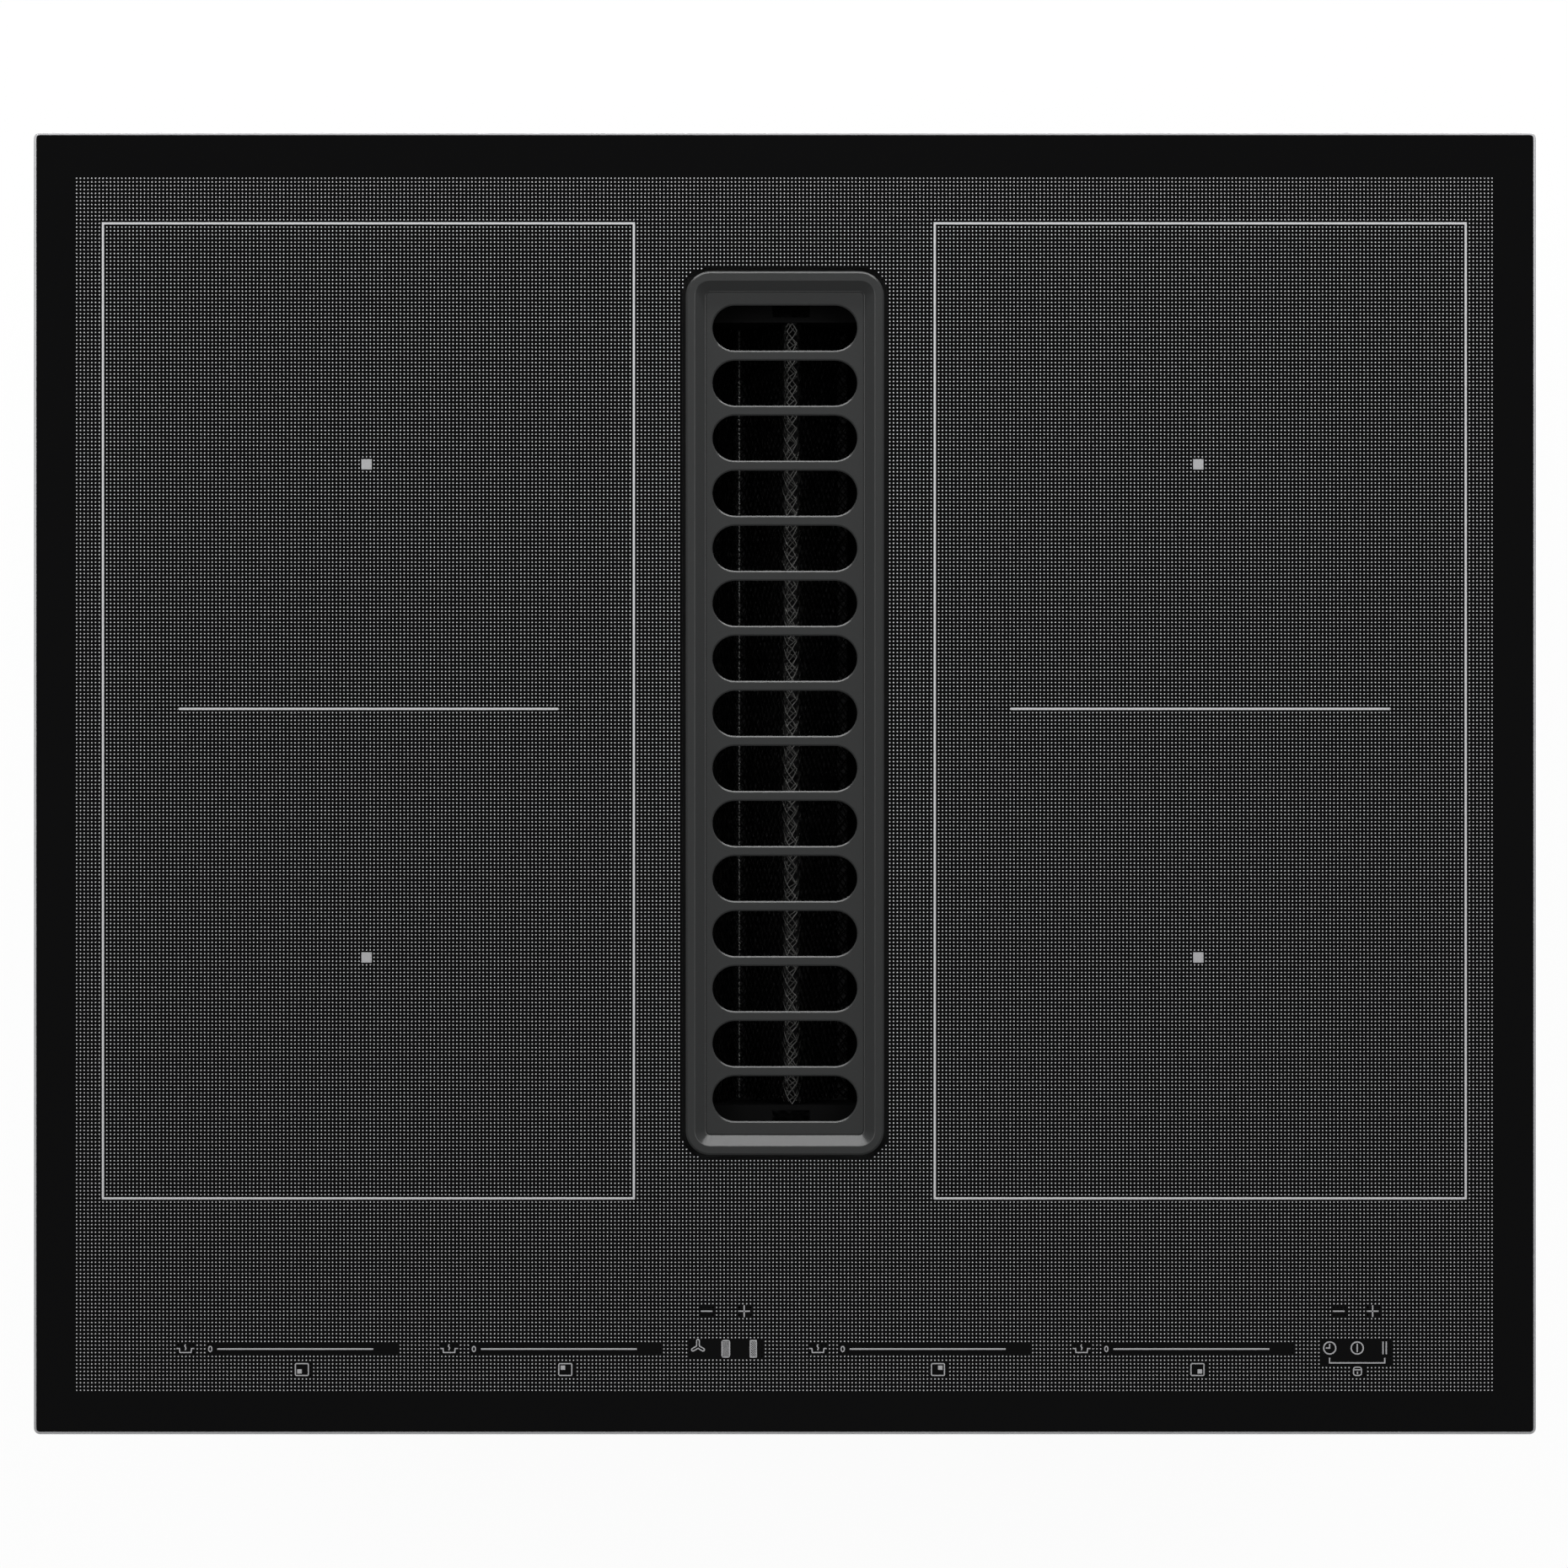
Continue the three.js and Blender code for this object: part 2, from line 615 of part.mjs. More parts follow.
/** The W fold of the mesh, from its left edge to its right. */
function pleatLine() {
  const ridge = PLEAT_RIDGE_OFFSET;
  const low = pleatBottom + PLEAT_SHEET;
  const side = carbonBay.width / 2 - FILTER_PLAY - PLEAT_SHEET;
  return [
    [-side, deckBottom - FIT],
    [ridge - PLEAT_VALLEY_OFFSET - PLEAT_FLAT, low],
    [ridge - PLEAT_VALLEY_OFFSET + PLEAT_FLAT, low],
    [ridge - PLEAT_FLAT, deckTop],
    [ridge + PLEAT_FLAT, deckTop],
    [ridge + PLEAT_VALLEY_OFFSET - PLEAT_FLAT, low],
    [ridge + PLEAT_VALLEY_OFFSET + PLEAT_FLAT, low],
    [side, deckBottom - FIT],
  ];
}

function greaseFilterMeshSolid() {
  return alongY(foldedSheet(pleatLine(), PLEAT_SHEET), meshFront, meshBack);
}

/** The deck with its window, its two end plates and a finger grip at each end. */
function greaseFilterFrameSolid() {
  const y = GRILLE_CENTRE_Y;
  const window = footprint(2 * meshHalf, meshBack - meshFront + 2 * FIT, 1);
  const deckPlate = slab(roundedRectangle(deck, 0, y), deckBottom, deckTop);
  const opening = slab(roundedRectangle(window, 0, y), deckBottom - BITE, deckTop + BITE);
  const half = carbonBay.width / 2 - FILTER_PLAY;
  const endPlate = (from) => block([-half, from, pleatBottom], [half, from + END_PLATE, deckTop]);
  const grip = (from) => block(
    [PLEAT_RIDGE_OFFSET - GRIP_WIDTH / 2, from, deckBottom - BITE],
    [PLEAT_RIDGE_OFFSET + GRIP_WIDTH / 2, from + GRIP_LENGTH, deckTop + BITE],
  );
  return cut(
    join(cut(deckPlate, opening), endPlate(meshFront - FIT - END_PLATE), endPlate(meshBack + FIT)),
    grip(meshFront - 2 * END_PLATE - GRIP_LENGTH),
    grip(meshBack + 2 * END_PLATE),
  );
}

const cassette = inset(carbonBay, FILTER_PLAY);

/** The carbon cassette: four walls closed above and below by crossed ribs. */
function carbonFilterFrameSolid() {
  const y = GRILLE_CENTRE_Y;
  const core = inset(cassette, CARBON_WALL);
  const top = carbonBottom + CARBON_HEIGHT;
  const shell = cut(
    slab(roundedRectangle(cassette, 0, y), carbonBottom, top),
    slab(roundedRectangle(core, 0, y), carbonBottom - BITE, top + BITE),
  );
  const ribs = [];
  const count = Math.floor(core.length / CARBON_RIB_PITCH);
  for (let i = 1; i < count; i += 1) {
    const at = y - core.length / 2 + (i * core.length) / count;
    const reach = core.width / 2 + BITE;
    for (const low of [carbonBottom + CARBON_RIB_RECESS, top - CARBON_RIB_RECESS - CARBON_RIB_HEIGHT]) {
      ribs.push(block([-reach, at - CARBON_RIB / 2, low], [reach, at + CARBON_RIB / 2, low + CARBON_RIB_HEIGHT]));
    }
  }
  return join(shell, ...ribs);
}

function carbonBedSolid() {
  const bed = inset(cassette, CARBON_WALL + FIT);
  const low = carbonBottom + CARBON_RIB_RECESS + CARBON_RIB_HEIGHT + FIT;
  const high = carbonBottom + CARBON_HEIGHT - CARBON_RIB_RECESS - CARBON_RIB_HEIGHT - FIT;
  return slab(roundedRectangle(bed, 0, GRILLE_CENTRE_Y), low, high);
}

place(extraction, 'intake_well', intakeWellSolid(), 'darkPlastic');
place(extraction, 'grease_filter_frame', greaseFilterFrameSolid(), 'filterMesh');
place(extraction, 'grease_filter_mesh', greaseFilterMeshSolid(), 'filterMesh');
place(extraction, 'carbon_filter_frame', carbonFilterFrameSolid(), 'greyPlastic');
place(extraction, 'carbon_filter_bed', carbonBedSolid(), 'carbon');

// ---- Steel casing of the induction unit --------------------------------------------------

/** Banks of upright slots through both side walls, beside each row of coils. */
function sideVents() {
  const reach = casingWidth / 2 + BITE;
  const low = casingFloor + (CASING_HEIGHT - VENT_HEIGHT) / 2;
  const first = -((VENTS_PER_BANK - 1) * VENT_PITCH) / 2;
  const cutters = [];
  for (let i = 0; i < VENTS_PER_BANK; i += 1) {
    const y = coilBackY + first + i * VENT_PITCH;
    cutters.push(block([-reach, y - VENT_WIDTH / 2, low], [reach, y + VENT_WIDTH / 2, low + VENT_HEIGHT]));
  }
  return cutters;
}

/** Banks of upright slots through the back wall, where the cooling air leaves. */
function backVents() {
  const low = casingFloor + (CASING_HEIGHT - VENT_HEIGHT) / 2;
  const first = -((VENTS_PER_BANK - 1) * VENT_PITCH) / 2;
  const cutters = [];
  for (const side of [-1, 1]) {
    for (let i = 0; i < VENTS_PER_BANK; i += 1) {
      const x = side * boardX + first + i * VENT_PITCH;
      cutters.push(block(
        [x - VENT_WIDTH / 2, casingInnerY - BITE, low],
        [x + VENT_WIDTH / 2, casingDepth / 2 + BITE, low + VENT_HEIGHT],
      ));
    }
  }
  return cutters;
}

/** The finger guard under each cooling fan: parallel slots inside a circle. */
function fanGuardSlots() {
  const half = GUARD_OPENING / 2;
  const pitch = GUARD_BAR + GUARD_OPENING;
  const cutters = [];
  for (const x of [-fanX, fanX]) {
    for (let at = GUARD_OPENING - FAN_BORE_RADIUS; at < FAN_BORE_RADIUS - half; at += pitch) {
      const reach = Math.sqrt(FAN_BORE_RADIUS ** 2 - at ** 2) - half;
      cutters.push(block(
        [x - reach, fanY + at - half, casingBottom - BITE],
        [x + reach, fanY + at + half, casingFloor + BITE],
      ));
    }
  }
  return cutters;
}

function casingSolid() {
  const outer = footprint(casingWidth, casingDepth, CASING_CORNER_RADIUS);
  const hole = inset(wellNeck, -FIT);
  const collar = inset(hole, -SHEET);
  const y = GRILLE_CENTRE_Y;
  const tub = cut(
    slab(roundedRectangle(outer), casingBottom, casingTop),
    slab(roundedRectangle(inset(outer, SHEET)), casingFloor, casingTop - SHEET),
    slab(roundedRectangle(inset(outer, CASING_FLANGE)), casingFloor, casingTop + BITE),
  );
  return cut(
    join(tub, slab(roundedRectangle(collar, 0, y), casingBottom, casingFloor + COLLAR_HEIGHT)),
    slab(roundedRectangle(hole, 0, y), casingBottom - BITE, casingTop),
    ...sideVents(),
    ...backVents(),
    ...fanGuardSlots(),
  );
}

place(inductionUnit, 'casing_tub', casingSolid(), 'zincSheet');

// ---- Coils, carriers, insulation and glass sensors ----------------------------------------

const carrierBottom = shelfTop + FIT;
const carrierTop = carrierBottom + CARRIER_DISC + FERRITE_HEIGHT;
const coilBottom = carrierTop + FIT;
const coilTop = coilBottom + COIL_HEIGHT;
const padBottom = coilTop + FIT;
const padTop = glassBottom - FIT;

function coilSolid() {
  const inner = COIL_BORE / 2;
  const outer = COIL_DIAMETER / 2;
  return revolve([[inner, coilBottom], [outer, coilBottom], [outer, coilTop], [inner, coilTop]]);
}

/** A disc with a bore for the sensor and ferrite bars that point at the middle. */
function coilCarrierSolid() {
  const outer = COIL_DIAMETER / 2 - CARRIER_EDGE;
  const inner = SENSOR_RADIUS + CARRIER_BORE_GAP;
  const discTop = carrierBottom + CARRIER_DISC;
  const disc = revolve(
    [[inner, carrierBottom], [outer, carrierBottom], [outer, discTop], [inner, discTop]],
    2 * FERRITE_COUNT,
  );
  const bar = block(
    [inner + FERRITE_START, -FERRITE_WIDTH / 2, discTop - CARRIER_DISC / 2],
    [outer - FERRITE_END, FERRITE_WIDTH / 2, carrierTop],
  );
  const bars = Array.from({ length: FERRITE_COUNT }, (_, i) => bar.rotate([0, 0, (i * 360) / FERRITE_COUNT]));
  return join(disc, ...bars);
}

function insulationPadSolid() {
  const inner = SENSOR_RADIUS + CARRIER_BORE_GAP - PAD_LAP;
  const outer = COIL_DIAMETER / 2 + PAD_LAP;
  return revolve([[inner, padBottom], [outer, padBottom], [outer, padTop], [inner, padTop]]);
}

/** A spring-loaded sensor: a foot on the shelf, a slim stem and a head under the glass. */
function glassSensorSolid() {
  const head = SENSOR_RADIUS;
  const stem = SENSOR_STEM_RADIUS;
  const footTop = carrierBottom + SENSOR_FOOT;
  return revolve([
    [0, carrierBottom], [head, carrierBottom], [head, footTop], [stem, footTop],
    [stem, padTop - 2 * SENSOR_FOOT], [head, padTop - SENSOR_FOOT], [head, padTop], [0, padTop],
  ], 8);
}

const ZONES = {
  front_left: [-coilX, coilFrontY],
  back_left: [-coilX, coilBackY],
  front_right: [coilX, coilFrontY],
  back_right: [coilX, coilBackY],
};

for (const [zone, [x, y]] of Object.entries(ZONES)) {
  const stack = new THREE.Group();
  stack.position.set(x, y, 0);
  inductionUnit.add(stack);
  place(stack, `coil_carrier_${zone}`, coilCarrierSolid(), 'greyPlastic');
  place(stack, `coil_${zone}`, coilSolid(), 'copper');
  place(stack, `insulation_pad_${zone}`, insulationPadSolid(), 'ceramicWool');
  place(stack, `glass_sensor_${zone}`, glassSensorSolid(), 'aluminium');
}

// ---- Coil shelves, power boards and heat sinks ---------------------------------------------

const shelfInner = mouth.width / 2 + WELL_WALL + SHELF_CLEARANCE;
const shelfOuter = casingInnerX - SHELF_CLEARANCE;
const shelfFront = coilFrontY - COIL_DIAMETER / 2 - SHELF_LAP;
const shelfBack = casingInnerY - SHELF_CLEARANCE;

/** A folded sheet that spans one side of the casing on four legs. */
function coilShelfSolid() {
  const legs = [];
  for (const x of [shelfInner, shelfOuter - SHELF_LEG]) {
    for (const y of [shelfFront, shelfBack - SHELF_LEG]) {
      legs.push(block([x, y, casingFloor + FIT], [x + SHELF_LEG, y + SHELF_LEG, shelfBottom + BITE]));
    }
  }
  const plate = block([shelfInner, shelfFront, shelfBottom], [shelfOuter, shelfBack, shelfTop]);
  const holeY = (coilFrontY + coilBackY) / 2;
  const cableHole = post(coilX, holeY, CABLE_HOLE_RADIUS, shelfBottom - BITE, shelfTop + BITE, 12);
  return cut(join(plate, ...legs), cableHole);
}

/** A circuit board on four standoffs with its capacitors and a choke. */
function powerBoardSolid() {
  const low = casingFloor + FIT + BOARD_STANDOFF;
  const high = low + BOARD_THICKNESS;
  const halfX = BOARD_WIDTH / 2;
  const halfY = BOARD_LENGTH / 2;
  const cornerX = halfX - STANDOFF_MARGIN;
  const cornerY = halfY - STANDOFF_MARGIN;
  const standoff = post(0, 0, STANDOFF_RADIUS, casingFloor + FIT, high, 6);
  const standoffs = copies(standoff, [
    [-cornerX, -cornerY], [cornerX, -cornerY], [-cornerX, cornerY], [cornerX, cornerY],
  ]);
  const capacitor = post(halfX - CAPACITOR_MARGIN, 0, CAPACITOR_RADIUS, low, high + CAPACITOR_HEIGHT, 10);
  const capacitors = copies(capacitor, [-2, -1, 1, 2].map((i) => [0, i * CAPACITOR_SPACING]));
  const chokeLeft = CHOKE_MARGIN - halfX;
  const choke = block(
    [chokeLeft, -CHOKE_LENGTH / 2, low],
    [chokeLeft + CHOKE_WIDTH, CHOKE_LENGTH / 2, high + CAPACITOR_HEIGHT],
  );
  const board = block([-halfX, -halfY, low], [halfX, halfY, high]);
  return join(board, ...standoffs, ...capacitors, choke);
}

/** An extruded heat sink: a base with upright fins. */
function heatsinkSolid() {
  const low = casingFloor + FIT + BOARD_STANDOFF + BOARD_THICKNESS + FIT;
  const high = low + HEATSINK_HEIGHT;
  const pitch = (HEATSINK_WIDTH - FIN_THICKNESS) / (FIN_COUNT - 1);
  const left = -HEATSINK_WIDTH / 2;
  const outline = [[left, low], [left + HEATSINK_WIDTH, low]];
  for (let i = FIN_COUNT - 1; i >= 0; i -= 1) {
    const x = left + i * pitch;
    if (i < FIN_COUNT - 1) outline.push([x + FIN_THICKNESS, low + HEATSINK_BASE]);
    outline.push([x + FIN_THICKNESS, high], [x, high]);
    if (i > 0) outline.push([x, low + HEATSINK_BASE]);
  }
  return alongY(polygon(outline), -HEATSINK_LENGTH / 2, HEATSINK_LENGTH / 2);
}

for (const [side, sign] of Object.entries({ left: -1, right: 1 })) {
  const board = new THREE.Group();
  board.position.set(sign * boardX, boardY, 0);
  inductionUnit.add(board);
  place(board, `power_board_${side}`, powerBoardSolid(), 'circuitBoard');
  place(board, `heatsink_${side}`, heatsinkSolid(), 'aluminium');
  const shelf = place(inductionUnit, `coil_shelf_${side}`, coilShelfSolid(), 'aluminium');
  if (sign < 0) shelf.position.x = -(shelfInner + shelfOuter);
}

// ---- Touch board under the print at the front ----------------------------------------------

const touchTop = casingTop - SHEET - FIT;
const touchBoardBottom = touchTop - BOARD_THICKNESS;

/** A channel with a leg at each end; the board drops in between its walls. */
function touchCarrierSolid() {
  const halfX = touchBoardLength / 2 + FIT + TOUCH_CARRIER_WALL;
  const front = touchFront - FIT - TOUCH_CARRIER_WALL;
  const back = touchBack + FIT + TOUCH_CARRIER_WALL;
  const low = touchBoardBottom - FIT - TOUCH_CARRIER_DEPTH;
  const tray = block([-halfX, front, low], [halfX, back, touchTop]);
  const pocket = block(
    [-halfX + TOUCH_CARRIER_WALL, front + TOUCH_CARRIER_WALL, touchBoardBottom - FIT],
    [halfX - TOUCH_CARRIER_WALL, back - TOUCH_CARRIER_WALL, touchTop + BITE],
  );
  const relief = block(
    [-halfX + 3 * TOUCH_CARRIER_WALL, front + 3 * TOUCH_CARRIER_WALL, low + TOUCH_CARRIER_WALL],
    [halfX - 3 * TOUCH_CARRIER_WALL, back - 3 * TOUCH_CARRIER_WALL, touchTop + BITE],
  );
  const leg = (x) => block([x, front, casingFloor + FIT], [x + SHELF_LEG, back, low + BITE]);
  return join(cut(tray, pocket, relief), leg(-halfX), leg(halfX - SHELF_LEG));
}

function touchBoardSolid() {
  const halfX = touchBoardLength / 2;
  return block([-halfX, touchFront, touchBoardBottom], [halfX, touchBack, touchTop]);
}

place(inductionUnit, 'touch_carrier', touchCarrierSolid(), 'darkPlastic');
place(inductionUnit, 'touch_board', touchBoardSolid(), 'circuitBoard');

// ---- Electronics cooling fans ----------------------------------------------------------------

const fanLow = casingFloor + FIT;
const rotorLow = fanLow + FAN_STRUT + FIT;

/** A square frame with a round bore and a hub plate held by three struts. */
function fanFrameSolid() {
  const square = roundedRectangle(footprint(FAN_SIZE, FAN_SIZE, 4));
  const bore = post(0, 0, FAN_BORE_RADIUS, fanLow - BITE, fanLow + FAN_HEIGHT + BITE, ROUND_SIDES);
  const strut = block([0, -FAN_STRUT / 2, fanLow], [FAN_BORE_RADIUS + BITE, FAN_STRUT / 2, fanLow + FAN_STRUT]);
  const struts = [90, 210, 330].map((angle) => strut.rotate([0, 0, angle]));
  const hub = post(0, 0, FAN_HUB_RADIUS, fanLow, fanLow + FAN_STRUT, 12);
  return join(cut(slab(square, fanLow, fanLow + FAN_HEIGHT, 1), bore), hub, ...struts);
}

/** One flat blade, turned about its own length, from inside the hub to the tip. */
function fanBlade(tip, height) {
  const half = FAN_BLADE_CHORD / 2;
  return block([FAN_HUB_RADIUS - 2, -half, -FAN_BLADE_SHEET / 2], [tip, half, FAN_BLADE_SHEET / 2])
    .rotate([FAN_BLADE_PITCH, 0, 0])
    .translate([0, 0, rotorLow + height / 2]);
}

function fanRotorSolid() {
  const height = FAN_HEIGHT - FAN_STRUT - 2;
  const tip = FAN_BORE_RADIUS - FAN_TIP_GAP;
  const hub = post(0, 0, FAN_HUB_RADIUS, rotorLow, rotorLow + height, 12);
  const blade = fanBlade(tip, height);
  const blades = Array.from({ length: FAN_BLADES }, (_, i) => blade.rotate([0, 0, (i * 360) / FAN_BLADES]));
  return join(hub, ...blades);
}

for (const [side, x] of Object.entries({ left: -fanX, right: fanX })) {
  const fan = new THREE.Group();
  fan.position.set(x, fanY, 0);
  inductionUnit.add(fan);
  place(fan, `cooling_fan_frame_${side}`, fanFrameSolid(), 'darkPlastic');
  place(fan, `cooling_fan_rotor_${side}`, fanRotorSolid(), 'greyPlastic');
}

// ---- Terminal box and its empty gland ----------------------------------------------------------

const terminalRight = -collectorX - TERMINAL_INSET;
const terminalLeft = terminalRight - TERMINAL_WIDTH;
const terminalBack = boxBack;
const terminalFront = terminalBack - TERMINAL_DEPTH;
const terminalTop = casingBottom - FIT;
const terminalLow = terminalTop - TERMINAL_HEIGHT;
const glandX = (terminalLeft + terminalRight) / 2;
const glandZ = (terminalTop + terminalLow) / 2;

function terminalBoxSolid() {
  const w = TERMINAL_WALL;
  const hole = post(0, 0, GLAND_RADIUS - 3, 0, 3 * w, 12)
    .rotate([-90, 0, 0])
    .translate([glandX, terminalBack - 2 * w, glandZ]);
  return cut(
    block([terminalLeft, terminalFront, terminalLow], [terminalRight, terminalBack, terminalTop]),
    block(
      [terminalLeft + w, terminalFront + w, terminalLow - BITE],
      [terminalRight - w, terminalBack - w, terminalTop - w],
    ),
    hole,
  );
}

function terminalLidSolid() {
  const middle = [(terminalLeft + terminalRight) / 2, (terminalFront + terminalBack) / 2];
  const lid = footprint(TERMINAL_WIDTH + 2 * RIB_DEPTH, TERMINAL_DEPTH, 3);
  return slab(roundedRectangle(lid, ...middle), terminalLow - FIT - TERMINAL_WALL, terminalLow - FIT, 3);
}

/** The gland: a collar with a dome nut and an open bore. */
function cableGlandSolid() {
  const nut = GLAND_LENGTH * 0.55;
  return revolve([
    [GLAND_BORE, FIT], [GLAND_RADIUS, FIT], [GLAND_RADIUS, 4], [GLAND_RADIUS - 2, 4],
    [GLAND_RADIUS - 2, 5], [GLAND_RADIUS - 0.5, 5], [GLAND_RADIUS - 0.5, nut],
    [GLAND_RADIUS - 3, GLAND_LENGTH], [GLAND_BORE, GLAND_LENGTH],
  ], 12).rotate([-90, 0, 0]).translate([glandX, terminalBack, glandZ]);
}

place(inductionUnit, 'terminal_box', terminalBoxSolid(), 'darkPlastic');
place(inductionUnit, 'terminal_lid', terminalLidSolid(), 'darkPlastic');
place(inductionUnit, 'cable_gland', cableGlandSolid(), 'greyPlastic');

// ---- Spring clamps ------------------------------------------------------------------------------

/** A leaf that lies on the casing wall and bows outwards on its way back up. */
function clampSolid() {
  const wall = casingWidth / 2 + FIT;
  const top = lipBottom - SEAL_THICKNESS - CLAMP_TOP_GAP;
  const low = top - CLAMP_HEIGHT;
  const line = [
    [wall, top], [wall, low], [wall + 2 * CLAMP_SHEET + CLAMP_BEND, low - CLAMP_BEND],
    [wall + CLAMP_BULGE, low + CLAMP_HEIGHT * 0.45],
    [wall + CLAMP_BULGE - CLAMP_BEND, top - CLAMP_TOP_GAP],
  ];
  return alongY(foldedSheet(line, -CLAMP_SHEET), -CLAMP_WIDTH / 2, CLAMP_WIDTH / 2);
}

const CLAMPS = {
  front_left: [-1, -1],
  back_left: [-1, 1],
  front_right: [1, -1],
  back_right: [1, 1],
};

for (const [corner, [side, end]] of Object.entries(CLAMPS)) {
  const clamp = place(inductionUnit, `worktop_clamp_${corner}`, clampSolid(), 'zincSheet');
  clamp.position.y = end * (casingDepth / 2 - CLAMP_END_MARGIN);
  clamp.rotation.z = side < 0 ? Math.PI : 0;
}

// ---- Air box: an L-shaped tub with a lid ---------------------------------------------------------

/** The L of the air box, drawn in by `by`: the collector in front, the blower room behind. */
function airBoxOutline(by) {
  const convex = Math.max(AIR_BOX_RADIUS - by, 1);
  const concave = AIR_BOX_RADIUS + by;
  const corners = [
    [-collectorX + by, boxFront + by], [collectorX - by, boxFront + by],
    [collectorX - by, blowerFront + by], [boxRight - by, blowerFront + by],
    [boxRight - by, boxBack - by], [-collectorX + by, boxBack - by],
  ];
  return filletedPolygon(corners, [convex, convex, concave, convex, convex, convex]);
}

/** Upright stiffening ribs on the outside of the air box. */
function airBoxRibs() {
  const ribs = [];
  const low = boxFloorBottom;
  const high = lidBottom - FIT - 8;
  const half = RIB_WIDTH / 2;
  for (let y = boxFront + RIB_PITCH; y < boxBack - AIR_BOX_RADIUS; y += RIB_PITCH) {
    ribs.push(block([-collectorX - RIB_DEPTH, y - half, low], [-collectorX + BITE, y + half, high]));
  }
  for (let y = blowerFront + RIB_PITCH; y < boxBack - AIR_BOX_RADIUS; y += RIB_PITCH) {
    ribs.push(block([boxRight - BITE, y - half, low], [boxRight + RIB_DEPTH, y + half, high]));
  }
  for (let x = collectorX + RIB_PITCH; x < boxRight - AIR_BOX_RADIUS; x += RIB_PITCH) {
    ribs.push(block([x - half, blowerFront - RIB_DEPTH, low], [x + half, blowerFront + BITE, high]));
  }
  return ribs;
}

/** Bosses on the floor that carry the scroll. */
function scrollBosses() {
  const boss = post(0, 0, BOSS_RADIUS, boxFloorTop - BITE, scrollBottom - FIT, 8);
  const reach = IMPELLER_RADIUS * 0.75;
  return copies(boss, [
    [blowerX - reach, BLOWER_CENTRE_Y - reach], [blowerX + reach, BLOWER_CENTRE_Y - reach],
    [blowerX - reach, BLOWER_CENTRE_Y + reach], [blowerX + reach, BLOWER_CENTRE_Y + reach],
  ]);
}

function airBoxBaseSolid() {
  const w = AIR_BOX_WALL;
  const top = lidBottom - FIT;
  const service = footprint(SERVICE_WIDTH - 2 * SERVICE_LAP, SERVICE_LENGTH - 2 * SERVICE_LAP, 5);
  const tub = cut(
    slab(airBoxOutline(0), 0, top),
    slab(airBoxOutline(w), boxFloorTop, top + BITE),
    slab(airBoxOutline(2 * w), -BITE, boxFloorBottom),
  );
  return cut(
    join(tub, ...airBoxRibs(), ...scrollBosses()),
    slab(roundedRectangle(service, 0, GRILLE_CENTRE_Y), -BITE, boxFloorTop + BITE),
    block(
      [outletLeft - w - FIT, boxBack - AIR_BOX_RADIUS, scrollBottom - FIT],
      [outletRight + w + FIT, boxBack + BITE, coverTop + FIT],
    ),
  );
}

function airBoxLidSolid() {
  const hole = roundedRectangle(inset(wellNeck, -FIT), 0, GRILLE_CENTRE_Y);
  return cut(
    slab(airBoxOutline(-RIB_DEPTH), lidBottom, lidTop),
    slab(hole, lidBottom - BITE, lidTop + BITE),
  );
}

function serviceCoverSolid() {
  const plate = roundedRectangle(footprint(SERVICE_WIDTH, SERVICE_LENGTH, 8), 0, GRILLE_CENTRE_Y);
  return slab(plate, boxFloorBottom - FIT - SERVICE_PLATE, boxFloorBottom - FIT);
}

place(extraction, 'air_box_base', airBoxBaseSolid(), 'greyPlastic');
place(extraction, 'air_box_lid', airBoxLidSolid(), 'greyPlastic');
place(extraction, 'service_cover', serviceCoverSolid(), 'darkPlastic');

// ---- Blower: spiral scroll, bladed impeller and motor ------------------------------------------------

/** Inside radius of the scroll, which grows evenly from the tongue round to the outlet. */
function scrollRadius(angle) {
  return scrollStart + (SCROLL_GROWTH * (angle - TONGUE_ANGLE)) / (2 * Math.PI - TONGUE_ANGLE);
}

/** Plan of the scroll, pushed outwards by `by`: the spiral, then the flare to the outlet. */
function scrollOutline(by, end) {
  const steps = 26;
  const points = [];
  for (let i = 0; i <= steps; i += 1) {
    const angle = TONGUE_ANGLE + ((2 * Math.PI - TONGUE_ANGLE) * i) / steps;
    const radius = scrollRadius(angle) + by;
    points.push([blowerX + radius * Math.cos(angle), BLOWER_CENTRE_Y + radius * Math.sin(angle)]);
  }
  const throatX = points[0][0];
  const flareEnd = outletEnd - DUCT_LENGTH;
  points.push([outletRight + by, end], [outletLeft - by, end], [outletLeft - by, flareEnd]);
  points.push([throatX - 2 * SCROLL_CLEARANCE, points[0][1] + 2 * SCROLL_CLEARANCE]);
  return polygon(points);
}

function scrollSolid() {
  return cut(
    slab(scrollOutline(SCROLL_WALL, outletEnd), scrollBottom, scrollTop),
    slab(scrollOutline(0, outletEnd + BITE), scrollFloor, scrollTop + BITE),
  );
}

/** The cover closes the scroll; its bell mouth leads the air into the impeller. */
function scrollCoverSolid() {
  const lip = SCROLL_WALL;
  const hole = post(blowerX, BLOWER_CENTRE_Y, INLET_RADIUS + lip, coverBottom - BITE, coverTop + BITE, ROUND_SIDES);
  const low = coverTop - BELL_DEPTH;
  const bell = revolve([
    [INLET_RADIUS, low], [INLET_RADIUS + lip, low], [INLET_RADIUS + lip, coverBottom],
    [INLET_RADIUS + 2 * lip, coverBottom], [INLET_RADIUS + 5 * lip, coverTop - lip / 2],
    [INLET_RADIUS + 5 * lip, coverTop + lip], [INLET_RADIUS + 3 * lip, coverTop + lip],
    [INLET_RADIUS + lip, coverTop], [INLET_RADIUS + lip / 4, coverBottom],
  ], ROUND_SIDES).translate([blowerX, BLOWER_CENTRE_Y, 0]);
  return join(cut(slab(scrollOutline(SCROLL_WALL, outletEnd), coverBottom, coverTop), hole), bell);
}

